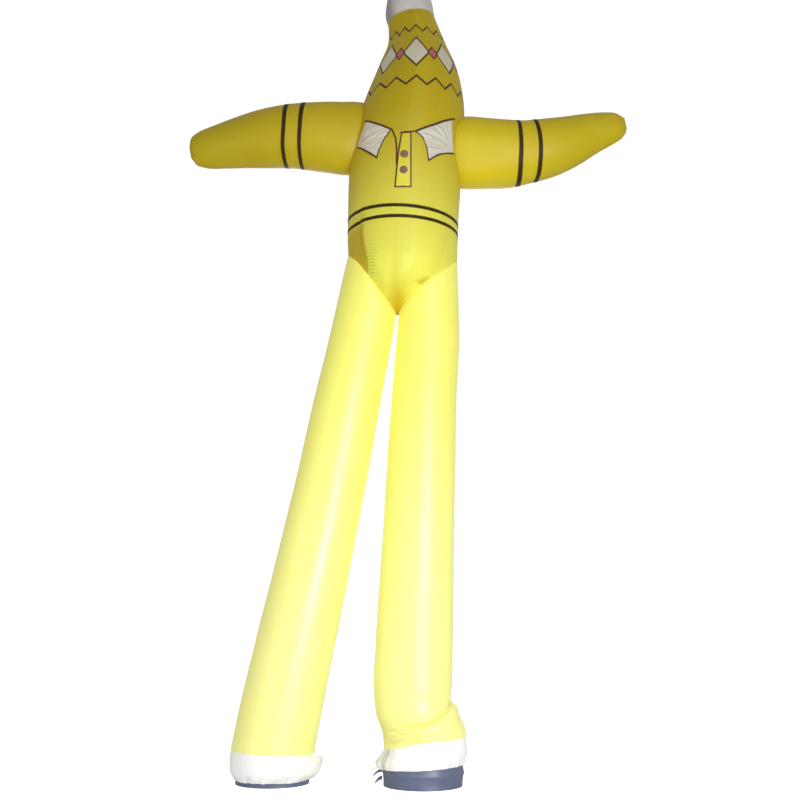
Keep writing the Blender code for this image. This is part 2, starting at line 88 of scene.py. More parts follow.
class TubeSection(NamedTuple):
    """A level ring of a leg, cuff or band."""

    height: float
    centre_x: float
    centre_y: float
    radius: float
    slope: float
    left: float = 0.0
    right: float = 0.0


class ArmSection(NamedTuple):
    """A ring round an arm, square to its run."""

    centre_x: float
    height: float
    radius: float
    depth: float


BODY = (
    BodySection(4.810, 0.018, 0.153, 0.170),
    BodySection(4.745, 0.032, 0.164, 0.120),
    BodySection(4.680, 0.045, 0.178, 0.060),
    BodySection(4.600, 0.055, 0.201, 0.000),
    BodySection(4.500, 0.057, 0.241, 0.000),
    BodySection(4.390, 0.053, 0.278, 0.000),
    BodySection(4.275, 0.042, 0.310, 0.000),
    BodySection(4.150, 0.026, 0.336, 0.000),
    BodySection(4.000, 0.005, 0.352, 0.000),
    BodySection(3.800, -0.018, 0.359, 0.000),
    BodySection(3.600, -0.030, 0.358, -0.020),
    BodySection(3.440, -0.037, 0.352, -0.050),
    BodySection(3.240, -0.040, 0.348, -0.030),
)
CAP = (
    BODY[0],
    BodySection(4.860, 0.007, 0.158, 0.080),
    BodySection(4.930, 0.004, 0.152, 0.030),
    BodySection(4.985, 0.002, 0.134, 0.000),
    BodySection(5.020, 0.000, 0.100, 0.000),
    BodySection(5.038, 0.000, 0.050, 0.000),
)
CAP_TOP = (0.0, 0.0, 5.042)

LEFT_ARM = (
    ArmSection(-0.200, 3.962, 0.247, 0.66),
    ArmSection(-0.400, 3.974, 0.238, 0.78),
    ArmSection(-0.580, 3.985, 0.223, 0.92),
    ArmSection(-0.740, 3.989, 0.207, 1.00),
    ArmSection(-0.940, 3.971, 0.186, 1.00),
    ArmSection(-1.080, 3.947, 0.164, 1.00),
    ArmSection(-1.210, 3.920, 0.142, 1.00),
    ArmSection(-1.340, 3.892, 0.113, 1.00),
    ArmSection(-1.388, 3.883, 0.088, 1.00),
    ArmSection(-1.407, 3.880, 0.050, 1.00),
)
LEFT_FINGERTIP = (-1.414, 0.0, 3.878)
RIGHT_ARM = (
    ArmSection(0.160, 3.886, 0.240, 0.79),
    ArmSection(0.340, 3.876, 0.234, 0.84),
    ArmSection(0.520, 3.868, 0.225, 0.93),
    ArmSection(0.640, 3.867, 0.216, 1.00),
    ArmSection(0.760, 3.880, 0.201, 1.00),
    ArmSection(0.920, 3.915, 0.185, 1.00),
    ArmSection(1.060, 3.961, 0.160, 1.00),
    ArmSection(1.180, 4.008, 0.132, 1.00),
    ArmSection(1.290, 4.042, 0.107, 1.00),
    ArmSection(1.360, 4.060, 0.084, 1.00),
    ArmSection(1.400, 4.067, 0.050, 1.00),
)
RIGHT_FINGERTIP = (1.414, 0.0, 4.069)

LEFT_HIP, LEFT_CROTCH = (-0.386, 0.0, 3.160), (-0.083, 0.0, 2.790)
RIGHT_HIP, RIGHT_CROTCH = (0.303, 0.0, 3.147), (-0.065, 0.0, 2.790)
SEAM_HALF_DEPTH = 0.195
SEAM_PLACES = (0.0, 0.25, 0.5, 0.75, 1.0)  # from the crotch to the hip
LEFT_SAG = (0.0, 0.022, 0.014, 0.004, 0.0)
RIGHT_SAG = (0.0, -0.004, 0.008, 0.034, 0.026)

LEFT_LEG = (
    TubeSection(2.660, -0.297, 0.004, 0.195, 0.0),
    TubeSection(2.250, -0.380, 0.018, 0.206, 0.0),
    TubeSection(1.750, -0.473, 0.036, 0.216, 0.0),
    TubeSection(1.250, -0.576, 0.053, 0.227, 0.0),
    TubeSection(0.800, -0.675, 0.069, 0.237, 0.0),
    TubeSection(0.430, -0.752, 0.080, 0.244, 0.0),
    TubeSection(0.178, -0.797, 0.080, 0.242, -0.045),
)
LEFT_CUFF = (
    LEFT_LEG[-1],
    TubeSection(0.150, -0.796, 0.080, 0.245, -0.020, 0.0, 0.042),
    TubeSection(0.105, -0.795, 0.080, 0.247, 0.0, 0.0, 0.041),
    TubeSection(0.060, -0.795, 0.080, 0.240, 0.0, 0.0, 0.027),
    TubeSection(0.026, -0.794, 0.080, 0.222, 0.0),
)
LEFT_BAND = (
    TubeSection(0.080, -0.794, 0.080, 0.214, 0.0),
    TubeSection(0.040, -0.794, 0.080, 0.215, 0.0),
    TubeSection(0.010, -0.794, 0.080, 0.213, 0.0),
    TubeSection(0.000, -0.794, 0.080, 0.213, 0.0),
)
RIGHT_LEG = (
    TubeSection(2.660, 0.118, 0.0, 0.192, 0.0),
    TubeSection(2.250, 0.091, 0.0, 0.198, 0.0),
    TubeSection(1.750, 0.068, 0.0, 0.209, 0.0),
    TubeSection(1.250, 0.046, 0.0, 0.217, 0.0),
    TubeSection(0.800, 0.028, 0.0, 0.226, 0.0),
    TubeSection(0.530, 0.019, 0.0, 0.227, 0.06),
    TubeSection(0.425, 0.027, 0.0, 0.222, 0.16, 0.0, -0.010),
    TubeSection(0.395, 0.040, 0.0, 0.228, 0.12),
    TubeSection(0.345, 0.063, 0.0, 0.233, 0.10),
    TubeSection(0.290, 0.081, 0.0, 0.237, 0.10),
    TubeSection(0.225, 0.087, 0.0, 0.238, 0.14),
)
RIGHT_CUFF = (
    RIGHT_LEG[-1],
    TubeSection(0.190, 0.087, 0.0, 0.240, 0.12, 0.015, 0.0),
    TubeSection(0.150, 0.086, 0.0, 0.240, 0.08, 0.042, 0.0),
    TubeSection(0.108, 0.077, 0.0, 0.235, 0.05, 0.030, 0.0),
)
RIGHT_BAND = (
    TubeSection(0.130, 0.076, 0.0, 0.229, 0.03),
    TubeSection(0.070, 0.076, 0.0, 0.230, 0.0),
    TubeSection(0.010, 0.074, 0.0, 0.226, 0.0),
    TubeSection(0.000, 0.074, 0.0, 0.226, 0.0),
)
ANKLE_FOLD = (
    (-180.0, 0.420),
    (-60.0, 0.345),
    (-22.5, 0.350),
    (5.5, 0.356),
    (33.5, 0.399),
    (71.0, 0.462),
    (90.0, 0.480),
    (130.0, 0.475),
    (180.0, 0.420),
)  # degrees to the right of the front, and the fold's height there
ANKLE_WRINKLES = (
    (0.296, 0.0012),
    (0.268, 0.0007),
    (0.322, 0.0005),
    (0.248, 0.0004),
)  # a wrinkle's height, and its rise for each degree to the right


# ---------------- curves and noise

NOISE_CELLS = 64


def hermite(start: Array, stop: Array, leaving: Array, arriving: Array, t: Array) -> Array:
    """Reads cubic curves, each given by its ends and its tangents there.

    Args:
        start: The first ends.
        stop: The last ends.
        leaving: The tangents at the first ends.
        arriving: The tangents at the last ends.
        t: How far along to read them, from 0 to 1.

    Returns:
        The curves' values.
    """
    square, cube = t**2, t**3
    return (
        start * (2 * cube - 3 * square + 1)
        + stop * (3 * square - 2 * cube)
        + leaving * (cube - 2 * square + t)
        + arriving * (cube - square)
    )


def smooth_curve(keys: Sequence[float], values: Array, at: Array) -> Array:
    """Reads a smooth curve that passes through given values.

    Args:
        keys: Rising keys of the values.
        values: One value or array of values for each key.
        at: Where to read the curve.

    Returns:
        The curve's values, one for each place in at.
    """
    keys, values, at = np.asarray(keys, float), np.asarray(values, float), np.asarray(at, float)
    steps = np.diff(keys)
    more = [1] * (values.ndim - 1)
    slopes = np.diff(values, axis=0) / steps.reshape(-1, *more)
    share = (steps[1:] / (steps[1:] + steps[:-1])).reshape(-1, *more)
    tangents = np.concatenate(
        [slopes[:1], slopes[:-1] * share + slopes[1:] * (1 - share), slopes[-1:]]
    )
    i = np.clip(np.searchsorted(keys, at, side="right") - 1, 0, len(steps) - 1)
    t = ((at - keys[i]) / steps[i]).reshape(*at.shape, *more)
    step = steps[i].reshape(*at.shape, *more)
    return hermite(values[i], values[i + 1], tangents[i] * step, tangents[i + 1] * step, t)


def distances(steps: Sequence[float]) -> Array:
    """How far along a line each of its points lies, from the steps between them."""
    return np.concatenate([[0], np.cumsum(steps)])


def run_down(points: Array) -> Array:
    """How far each point lies below the first row, along the cloth."""
    steps = np.linalg.norm(np.diff(points, axis=0), axis=2)
    return np.cumsum(np.concatenate([np.zeros((1, points.shape[1])), steps]), axis=0)


def rising(sections: Sequence[tuple]) -> tuple[Array, Array]:
    """The heights of level rings from the lowest up, and the rings' other values."""
    table = np.array(sorted(sections))
    return table[:, 0], table[:, 1:]


def wrapped(angle: float | Array) -> float | Array:
    """The same direction as an angle from -180 to 180 degrees."""
    return (angle + 180) % FULL_TURN - 180


def off_seams(turn: Array, radius: float) -> Array:
    """Distance to the nearer of a tube's two seams, which lie at 0 and 180 degrees."""
    return np.radians((turn + 90) % 180 - 90) * radius


def wavy(x: Array, y: Array, seed: int, period: int = NOISE_CELLS) -> Array:
    """Smooth noise from -1 to 1 over the plane, which repeats every period steps of x.

    Args:
        x: First coordinate, a new value at each whole number.
        y: Second coordinate, the same.
        seed: Picks the noise.
        period: Whole number of steps after which x repeats.

    Returns:
        The noise at each point.
    """
    lattice = np.random.default_rng(seed).uniform(-1, 1, (period, NOISE_CELLS))
    x, y = np.broadcast_arrays(np.asarray(x, float), np.asarray(y, float))
    left, low = np.floor(x).astype(int), np.floor(y).astype(int)
    across, up = x - left, y - low
    across, up = across**2 * (3 - 2 * across), up**2 * (3 - 2 * up)
    i, j = left % period, low % NOISE_CELLS
    i_next, j_next = (i + 1) % period, (j + 1) % NOISE_CELLS
    bottom = lattice[i, j] * (1 - across) + lattice[i_next, j] * across
    top = lattice[i, j_next] * (1 - across) + lattice[i_next, j_next] * across
    return bottom * (1 - up) + top * up


def bell(distance: Array, width: float) -> Array:
    """1 at no distance, falling to nothing a little past width."""
    return np.exp(-((distance / width) ** 2))


def ramp(value: Array, start: float, stop: float) -> Array:
    """Rises smoothly from 0 at start to 1 at stop, which may be lower than start."""
    t = np.clip((np.asarray(value, float) - start) / (stop - start), 0, 1)
    return t * t * (3 - 2 * t)


def puckers(off: Array, along: Array, pitch: float, reach: float, seed: int) -> Array:
    """Short folds that run off a gathered seam on both sides.

    Args:
        off: Distance from the seam.
        along: Distance along the seam.
        pitch: Rough spacing of the folds.
        reach: How far the folds run off the seam.
        seed: Picks their spacing and lengths.

    Returns:
        The folds' height, about -1 to 1.
    """
    ripple = wavy(2 * along / pitch, 0 * off, seed)
    length = reach * (1 + 0.6 * wavy(along / pitch, 0 * off + 7.3, seed + 1))
    return ripple * np.exp(-np.abs(off) / length)


@dataclass(frozen=True)
class Slack:
    """Soft waves in cloth that goes round a tube."""

    height: float
    degrees: float  # round the tube, for each wave
    length: float  # along the tube, for each wave
    seed: int

    def waves(self, turn: Array, along: Array) -> Array:
        """The waves, from -1 to 1, at degrees round the tube and metres along it."""
        period = round(FULL_TURN / self.degrees)
        return wavy(turn / self.degrees, along / self.length, self.seed, period)

    def relief(self, turn: Array, along: Array) -> Array:
        """The waves' height, at degrees round the tube and metres along it."""
        return self.height * self.waves(turn, along)


@dataclass(frozen=True)
class Seam:
    """A sewn seam: a groove, with small puckers on both sides."""

    depth: float
    width: float
    pucker: float
    pitch: float = 0.020
    reach: float = 0.030

    def relief(self, off: Array, along: Array, seed: int) -> Array:
        """The height of the cloth beside the seam, at distances off it and along it."""
        ripples = self.pucker * puckers(off, along, self.pitch, self.reach, seed)
        return ripples - self.depth * bell(off, self.width)


# ---------------- cloth meshes


@dataclass
class ClothGrid:
    """A sheet of cloth as rows of points, which becomes a thin closed shell.

    Rows run to the right across the front, and each lies below the one before it.
    """

    points: Array
    closed: bool
    head: Point | None = None
    foot: Point | None = None
    around: Array = field(init=False)
    along: Array = field(init=False)
    # the seams' painted shadow, 1 on a seam
    seam: Array = field(init=False)
    # painted shade: where cloth faces cloth, in folds and on the shaded side
    deep: Array = field(init=False)

    def __post_init__(self) -> None:
        """Measures the cloth's own coordinates, in metres."""
        ring = self.points
        if self.closed:
            ring = np.concatenate([ring, ring[:, :1]], axis=1)
        steps = np.linalg.norm(np.diff(ring, axis=1), axis=2)
        self.around = np.concatenate([np.zeros((len(ring), 1)), np.cumsum(steps, axis=1)], axis=1)
        self.around -= self.around[:, -1:] / 2
        self.along = run_down(ring)
        self.seam = np.zeros(self.points.shape[:2])
        self.deep = np.zeros(self.points.shape[:2])

    def normals(self) -> Array:
        """The outward direction at each point.

        Returns:
            The directions, each of length 1.
        """
        if self.closed:
            right = np.roll(self.points, -1, axis=1) - np.roll(self.points, 1, axis=1)
        else:
            right = np.gradient(self.points, axis=1)
        down = np.gradient(self.points, axis=0)
        out = np.cross(down, right)
        return out / np.maximum(np.linalg.norm(out, axis=2, keepdims=True), 1e-12)

    def raise_by(self, relief: float | Array) -> None:
        """Moves each point out by its relief."""
        relief = np.broadcast_to(relief, self.seam.shape)
        self.points = self.points + self.normals() * relief[..., None]

    def _wall(self, offset: int, inward: bool) -> tuple[list, list]:
        """Faces of one wall and the places of their corners in the cloth's own coordinates.

        Args:
            offset: Index of the wall's first point.
            inward: Whether the faces look inwards.

        Returns:
            The faces, and for each corner its (around, along).
        """
        rows, columns = self.points.shape[:2]
        spans = columns if self.closed else columns - 1
        r, c = np.meshgrid(np.arange(rows - 1), np.arange(spans), indexing="ij")
        corners = [(r, c), (r + 1, c), (r + 1, c + 1), (r, c + 1)]
        if inward:
            corners.reverse()
        faces = np.stack([offset + a * columns + b % columns for a, b in corners], axis=-1)
        flat = [np.stack([self.around[a, b], self.along[a, b]], axis=-1) for a, b in corners]
        places = np.stack(flat, axis=2)
        return faces.reshape(-1, 4).tolist(), places.reshape(-1, 2).tolist()

    def _fan(self, offset: int, pole: int, row: int, inward: bool) -> tuple[list, list]:
        """Faces that close a wall with a pole point at its first or last row.

        Args:
            offset: Index of the wall's first point.
            pole: Index of the pole point.
            row: 0 for the first row, -1 for the last.
            inward: Whether the faces look inwards.

        Returns:
            The faces, and for each corner its (around, along).
        """
        rows, columns = self.points.shape[:2]
        start = offset + (row % rows) * columns
        faces, places = [], []
        for c in range(columns):
            face = [pole, start + c, start + (c + 1) % columns]
            place = [(self.around[row, c], self.along[row, c])] * 3
            if (row == -1) != inward:
                face.reverse()
            faces.append(face)
            places += place
        return faces, places

    def _rim(self, inner: int, indices: list[int], loops: bool, turned: bool) -> list:
        """Faces across the cloth's thickness along one edge.

        Args:
            inner: Index of the inner wall's first point.
            indices: The edge's points on the outer wall.
            loops: Whether the edge comes back to its start.
            turned: Turns the faces round.

        Returns:
            The faces.
        """
        ends = indices[1:] + indices[:1] if loops else indices[1:]
        faces = [[a, b, b + inner, a + inner] for a, b in zip(indices, ends)]
        return [face[::-1] for face in faces] if turned else faces

    def build(self, name: str, thickness: float, finish: "Cloth") -> bpy.types.Object:
        """Makes the shell.

        Args:
            name: Name of the piece.
            thickness: The cloth's thickness, which goes inwards.
            finish: Its finish.

        Returns:
            The piece.
        """
        rows, columns = self.points.shape[:2]
        outward = self.normals()
        walls = [self.points.reshape(-1, 3), (self.points - outward * thickness).reshape(-1, 3)]
        count = rows * columns
        vertices = np.concatenate(walls).tolist()
        faces, places = [], []
        poles = {}
        for row, pole in ((0, self.head), (-1, self.foot)):
            if pole is not None:
                poles[row] = len(vertices)
                out = outward[row].mean(axis=0)
                deep = np.array(pole) - thickness * out / np.linalg.norm(out)
                vertices += [list(pole), deep.tolist()]
        for wall, inward in ((0, False), (1, True)):
            some, where = self._wall(wall * count, inward)
            faces += some
            places += where
            for row, first in poles.items():
                some, where = self._fan(wall * count, first + wall, row, inward)
                faces += some
                places += where
        edges = []
        if 0 not in poles:
            edges.append((list(range(columns)), self.closed, False))
        if -1 not in poles:
            edges.append((list(range(count - columns, count)), self.closed, True))
        if not self.closed:
            edges.append((list(range(0, count, columns)), False, True))
            edges.append((list(range(columns - 1, count, columns)), False, False))
        flat = [self.around[:, :columns].reshape(-1), self.along[:, :columns].reshape(-1)]
        for indices, loops, turned in edges:
            for face in self._rim(count, indices, loops, turned):
                faces.append(face)
                places += [(flat[0][i % count], flat[1][i % count]) for i in face]

        mesh = bpy.data.meshes.new(name)
        mesh.from_pydata(vertices, [], faces)
        uv = mesh.uv_layers.new(name="Cloth")
        uv.data.foreach_set("uv", np.array(places, np.float32).reshape(-1))
        # masks of the seams' painted shadow and of painted shade
        for label, mask in (("seam", self.seam), ("deep", self.deep)):
            values = np.zeros(len(vertices), np.float32)
            values[:count] = mask.reshape(-1)
            mesh.attributes.new(label, "FLOAT", "POINT").data.foreach_set("value", values)
        mesh.shade_smooth()
        mesh.set_sharp_from_angle(angle=math.radians(SHARP_ANGLE))
        piece = bpy.data.objects.new(name, mesh)
        bpy.context.scene.collection.objects.link(piece)
        mesh.materials.append(finish.material())
        return piece


def add_piece(
    piece: bpy.types.Object,
    nodes: Sequence[str],
    flat: Pair,
) -> None:
    """Puts a finished piece of cloth on the frame.

    Args:
        piece: The piece.
        nodes: The solids that it stands for.
        flat: Width and length of the cloth that it is cut from.
    """
    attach(piece, "root")
    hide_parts(*nodes)
    cloth = sum(face.area for face in piece.data.polygons) / 2
    said = "%s stands for %s: %.4f m2 of cloth, cut from %.2f x %.2f m, %d faces"
    log.info(said, piece.name, ", ".join(nodes), cloth, *flat, len(piece.data.polygons))


# ---------------- shader groups and prints

VECTOR, FLOAT = "NodeSocketVector", "NodeSocketFloat"
MIX_COLOUR_INPUTS = (0, 6, 7)  # a Mix node's factor and its two colours
MIX_COLOUR_OUTPUT = 2
HEAD_X = 0.045  # middle of the head
FACING = (1.0, 0.0, 1.0)  # keeps X and Z, so that a print lies as seen from the front
PRINT_EDGE = 0.0012  # softness of a print's edge
UNLIT = (0.0, 0.0, 0.0, 1.0)  # the glow of cloth that has none


def new_group(
    name: str,
    inputs: dict[str, tuple[str, object]],
    output: tuple[str, str],
) -> tuple[Tree, bpy.types.Node, bpy.types.Node]:
    """Starts a shader node group.

    Args:
        name: Name of the group.
        inputs: For each input, its socket type and its value.
        output: The output's name and socket type.

    Returns:
        The group, its input node and its output node.
    """
    group = bpy.data.node_groups.new(name, "ShaderNodeTree")
    for label, (kind, value) in inputs.items():
        socket = group.interface.new_socket(label, in_out="INPUT", socket_type=kind)
        socket.default_value = value
    group.interface.new_socket(output[0], in_out="OUTPUT", socket_type=output[1])
    return group, group.nodes.new("NodeGroupInput"), group.nodes.new("NodeGroupOutput")


@dataclass
class Wires:
    """Adds nodes to one node tree."""

    tree: Tree

    def put(self, socket: Socket, value: object) -> None:
        """Links a socket to another, or sets its value.

        Args:
            socket: The socket.
            value: The other socket, or the value.
        """
        if isinstance(value, Socket):
            self.tree.links.new(value, socket)
        else:
            socket.default_value = value

    def maths(self, operation: str, *values: object, clamp: bool = False) -> Socket:
        """The result of a Math node.

        Args:
            operation: What the node does.
            values: Its values or the sockets that feed it.
            clamp: Keeps the result from 0 to 1.

        Returns:
            The result.
        """
        node = self.tree.nodes.new("ShaderNodeMath")
        node.operation = operation
        node.use_clamp = clamp
        for socket, value in zip(node.inputs, values):
            self.put(socket, value)
        return node.outputs[0]

    def vector(self, operation: str, *values: object) -> Socket:
        """The result of a Vector Math node.

        Args:
            operation: What the node does.
            values: Its values or the sockets that feed it.

        Returns:
            The result.
        """
        node = self.tree.nodes.new("ShaderNodeVectorMath")
        node.operation = operation
        for socket, value in zip(node.inputs, values):
            self.put(socket, value)
        if operation == "SCALE":
            self.put(node.inputs["Scale"], values[1])
            return node.outputs[0]
        return node.outputs[1 if operation in ("DOT_PRODUCT", "LENGTH", "DISTANCE") else 0]

    def away(self, place: Socket, centre: object) -> Socket:
        """From a centre to a place, as seen from the front."""
        return self.vector("SUBTRACT", self.vector("MULTIPLY", place, FACING), centre)

    def split(self, vector: object) -> Sockets:
        """The three parts of a vector.

        Args:
            vector: The vector.

        Returns:
            Its parts.
        """
        node = self.tree.nodes.new("ShaderNodeSeparateXYZ")
        self.put(node.inputs[0], vector)
        return node.outputs

    def cycle(self, value: object) -> Socket:
        """How far a value is from the middle of its repeat: 0.5 at whole numbers, 0 between."""
        middle = self.maths("SUBTRACT", self.maths("FRACT", value), 0.5)
        return self.maths("ABSOLUTE", middle)

    def span(
        self,
        value: object,
        start: object,
        stop: object,
        low: float = 0.0,
        high: float = 1.0,
    ) -> Socket:
        """A smooth step of a value.

        Args:
            value: The value.
            start: The value that gives low.
            stop: The value that gives high, which may be less than start.
            low: The step's first height.
            high: Its last height.

        Returns:
            The step.
        """
        node = self.tree.nodes.new("ShaderNodeMapRange")
        node.interpolation_type = "SMOOTHSTEP"
        labels = ("Value", "From Min", "From Max", "To Min", "To Max")
        for label, given in zip(labels, (value, start, stop, low, high)):
            self.put(node.inputs[label], given)
        return node.outputs[0]

    def mix(self, share: object, first: object, second: object) -> Socket:
        """A mix of two colours.

        Args:
            share: How much of the second there is.
            first: The first colour.
            second: The second.

        Returns:
            The mix.
        """
        node = self.tree.nodes.new("ShaderNodeMix")
        node.data_type = "RGBA"
        for socket, value in zip(MIX_COLOUR_INPUTS, (share, first, second)):
            self.put(node.inputs[socket], value)
        return node.outputs[MIX_COLOUR_OUTPUT]

    def noise(self, vector: object, scale: float, detail: float = 2.0) -> Socket:
        """The value of a Noise texture.

        Args:
            vector: Where the noise is read.
            scale: How fine it is.
            detail: How much detail it has.

        Returns:
            The value.
        """
        node = self.tree.nodes.new("ShaderNodeTexNoise")
        node.inputs["Scale"].default_value = scale
        node.inputs["Detail"].default_value = detail
        self.put(node.inputs["Vector"], vector)
        return node.outputs["Fac"]

    def attribute(self, name: str) -> Socket:
        """A mask that the mesh carries.

        Args:
            name: The mask's name.

        Returns:
            The mask.
        """
        node = self.tree.nodes.new("ShaderNodeAttribute")
        node.attribute_name = name
        return node.outputs["Fac"]

    def group(self, group: Tree, **values: object) -> Socket:
        """The result of a node group, with its inputs given by name.

        Args:
            group: The group.
            values: Its values or the sockets that feed it.

        Returns:
            The result.
        """
        node = self.tree.nodes.new("ShaderNodeGroup")
        node.node_tree = group
        for label, value in values.items():
            self.put(node.inputs[label], value)
        return node.outputs[0]


def stroke_group() -> Tree:
    """The group that masks a straight printed line with round ends.

    Returns:
        The group.
    """
    inputs = {
        "Place": (VECTOR, (0, 0, 0)),
        "From": (VECTOR, (0, 0, 0)),
        "To": (VECTOR, (1, 0, 0)),
        "Width": (FLOAT, 0.01),
    }
    group, given, result = new_group("Print stroke", inputs, ("Mask", FLOAT))
    wires = Wires(group)
    away = wires.away(given.outputs["Place"], given.outputs["From"])
    run = wires.vector("SUBTRACT", given.outputs["To"], given.outputs["From"])
    reach, whole = (wires.vector("DOT_PRODUCT", one, run) for one in (away, run))
    share = wires.maths("DIVIDE", reach, whole, clamp=True)
    distance = wires.vector("DISTANCE", away, wires.vector("SCALE", run, share))
    half = wires.maths("MULTIPLY", given.outputs["Width"], 0.5)
    edge = wires.maths("ADD", half, PRINT_EDGE)
    wires.put(result.inputs[0], wires.span(distance, edge, half))
    return group


def oval_group() -> Tree:
    """The group that masks a printed oval.

    Returns:
        The group.
    """
    inputs = {
        "Place": (VECTOR, (0, 0, 0)),
        "Centre": (VECTOR, (0, 0, 0)),
        "Radii": (VECTOR, (1, 1, 1)),
        "Softness": (FLOAT, 0.02),
    }
    group, given, result = new_group("Print oval", inputs, ("Mask", FLOAT))
    wires = Wires(group)
    away = wires.away(given.outputs["Place"], given.outputs["Centre"])
    distance = wires.vector("LENGTH", wires.vector("DIVIDE", away, given.outputs["Radii"]))
    rim = wires.maths("ADD", 1.0, given.outputs["Softness"])
    core = wires.maths("SUBTRACT", 1.0, given.outputs["Softness"])
    wires.put(result.inputs[0], wires.span(distance, rim, core))
    return group


def band_group() -> Tree:
    """The group that lays a print round the head: across its repeat, and up.

    Returns:
        The group.
    """
    inputs = {
        "Place": (VECTOR, (0, 0, 0)),
        "Count": (FLOAT, 10.0),
        "Shift": (FLOAT, 0.0),
        "Height": (FLOAT, 0.0),
    }
    group, given, result = new_group("Print band", inputs, ("Across and up", VECTOR))
    wires = Wires(group)
    x, y, z = wires.split(wires.vector("SUBTRACT", given.outputs["Place"], (HEAD_X, 0, 0)))
    turn = wires.maths("ARCTAN2", x, wires.maths("MULTIPLY", y, -1.0))
    turns = wires.maths("MULTIPLY", wires.maths("DIVIDE", turn, math.tau), given.outputs["Count"])
    repeat = wires.cycle(wires.maths("ADD", turns, given.outputs["Shift"]))
    joined = wires.tree.nodes.new("ShaderNodeCombineXYZ")
    wires.put(joined.inputs[0], wires.maths("MULTIPLY", repeat, 2.0))
    wires.put(joined.inputs[1], wires.maths("SUBTRACT", z, given.outputs["Height"]))
    wires.put(result.inputs[0], joined.outputs[0])
    return group


def pucker_shade_group() -> Tree:
    """The group that masks the painted shade of short level puckers in an oval patch of cloth.

    Returns:
        The group.
    """
    inputs = {
        "Place": (VECTOR, (0, 0, 0)),
        "Centre": (VECTOR, (0, 0, 0)),
        "Radii": (VECTOR, (1, 1, 1)),
        "Pitch": (FLOAT, 0.018),
    }
    group, given, result = new_group("Painted pucker shade", inputs, ("Mask", FLOAT))
    wires = Wires(group)
    away = wires.away(given.outputs["Place"], given.outputs["Centre"])
    ragged = wires.noise(wires.vector("MULTIPLY", given.outputs["Place"], (6.0, 1.0, 70.0)), 1.0)
    reach = wires.vector("LENGTH", wires.vector("DIVIDE", away, given.outputs["Radii"]))
    uneven = wires.maths("ADD", reach, wires.maths("MULTIPLY", ragged, 0.9))
    patch = wires.span(uneven, 1.45, 1.15)
    x, _, z = wires.split(away)
    drift = wires.maths("MULTIPLY_ADD", x, 0.22, wires.maths("MULTIPLY", ragged, 0.004))
    off = wires.cycle(wires.maths("DIVIDE", wires.maths("ADD", z, drift), given.outputs["Pitch"]))
    wires.put(result.inputs[0], wires.maths("MULTIPLY", patch, wires.span(off, 0.16, 0.04)))
    return group


def weave_group() -> Tree:
    """The group that gives the height of a ripstop weave, in the cloth's own metres.

    Returns:
        The group.
    """
    inputs = {"Place": (VECTOR, (0, 0, 0)), "Pitch": (FLOAT, WEAVE_PITCH)}
    group, given, result = new_group("Ripstop weave", inputs, ("Height", FLOAT))
    wires = Wires(group)
    threads = []
    for part in wires.split(given.outputs["Place"])[:2]:
        off = wires.cycle(wires.maths("DIVIDE", part, given.outputs["Pitch"]))
        threads.append(wires.span(off, 0.12, 0.0))
    wires.put(result.inputs[0], wires.maths("MAXIMUM", *threads))
    return group


def crease_group() -> Tree:
    """The group that gives the height of soft creases which run along the cloth.

    Returns:
        The group.
    """
    inputs = {"Place": (VECTOR, (0, 0, 0)), "Stretch": (VECTOR, (9.0, 1.6, 1.0))}
    group, given, result = new_group("Soft creases", inputs, ("Height", FLOAT))
    wires = Wires(group)
    stretched = wires.vector("MULTIPLY", given.outputs["Place"], given.outputs["Stretch"])
    wires.put(result.inputs[0], wires.noise(stretched, 1.0, 3.0))
    return group


def stitch_group() -> Tree:
    """The group that masks the dashes of thread along a seam, from the seam's own mask.

    Returns:
        The group.
    """
    inputs = {
        "Place": (VECTOR, (0, 0, 0)),
        "Seam": (FLOAT, 0.0),
        "Pitch": (FLOAT, STITCH_PITCH),
    }
    group, given, result = new_group("Seam stitches", inputs, ("Mask", FLOAT))
    wires = Wires(group)
    across, along, _ = wires.split(given.outputs["Place"])
    run = wires.maths("ADD", across, along)
    off = wires.cycle(wires.maths("DIVIDE", run, given.outputs["Pitch"]))
    near = wires.span(given.outputs["Seam"], 0.5, 0.8)
    wires.put(result.inputs[0], wires.maths("MULTIPLY", wires.span(off, 0.36, 0.30), near))
    return group


@dataclass
class Groups:
    """The shader groups that the finishes share."""

    stroke: Tree = field(default_factory=stroke_group)
    oval: Tree = field(default_factory=oval_group)
    band: Tree = field(default_factory=band_group)
    pucker_shade: Tree = field(default_factory=pucker_shade_group)
    weave: Tree = field(default_factory=weave_group)
    crease: Tree = field(default_factory=crease_group)
    stitch: Tree = field(default_factory=stitch_group)


GROUPS = Groups()


@dataclass(frozen=True)
class Line:
    """A printed line through points given as (x, height)."""

    points: tuple[Pair, ...]
    width: float
    colour: Colour

    def mask(self, wires: Wires, place: Socket) -> Socket:
        """Where the line is.

        Args:
            wires: The material's nodes.
            place: The point on the object.

        Returns:
            The mask.
        """
        found = None
        for (x, height), (next_x, next_height) in zip(self.points, self.points[1:]):
            one = wires.group(
                GROUPS.stroke,
                Place=place,
                From=(x, 0, height),
                To=(next_x, 0, next_height),
                Width=self.width,
            )
            found = one if found is None else wires.maths("MAXIMUM", found, one)
        return found


@dataclass(frozen=True)
class Oval:
    """An oval of colour."""

    centre: Pair
    radii: Pair
    colour: Colour
    softness: float = 0.02  # as a share of its radii

    def mask(self, wires: Wires, place: Socket) -> Socket:
        """Where the oval is.

        Args:
            wires: The material's nodes.
            place: The point on the object.

        Returns:
            The mask.
        """
        return wires.group(
            GROUPS.oval,
            Place=place,
            Centre=(self.centre[0], 0, self.centre[1]),
            Radii=(self.radii[0], 1, self.radii[1]),
            Softness=self.softness,
        )


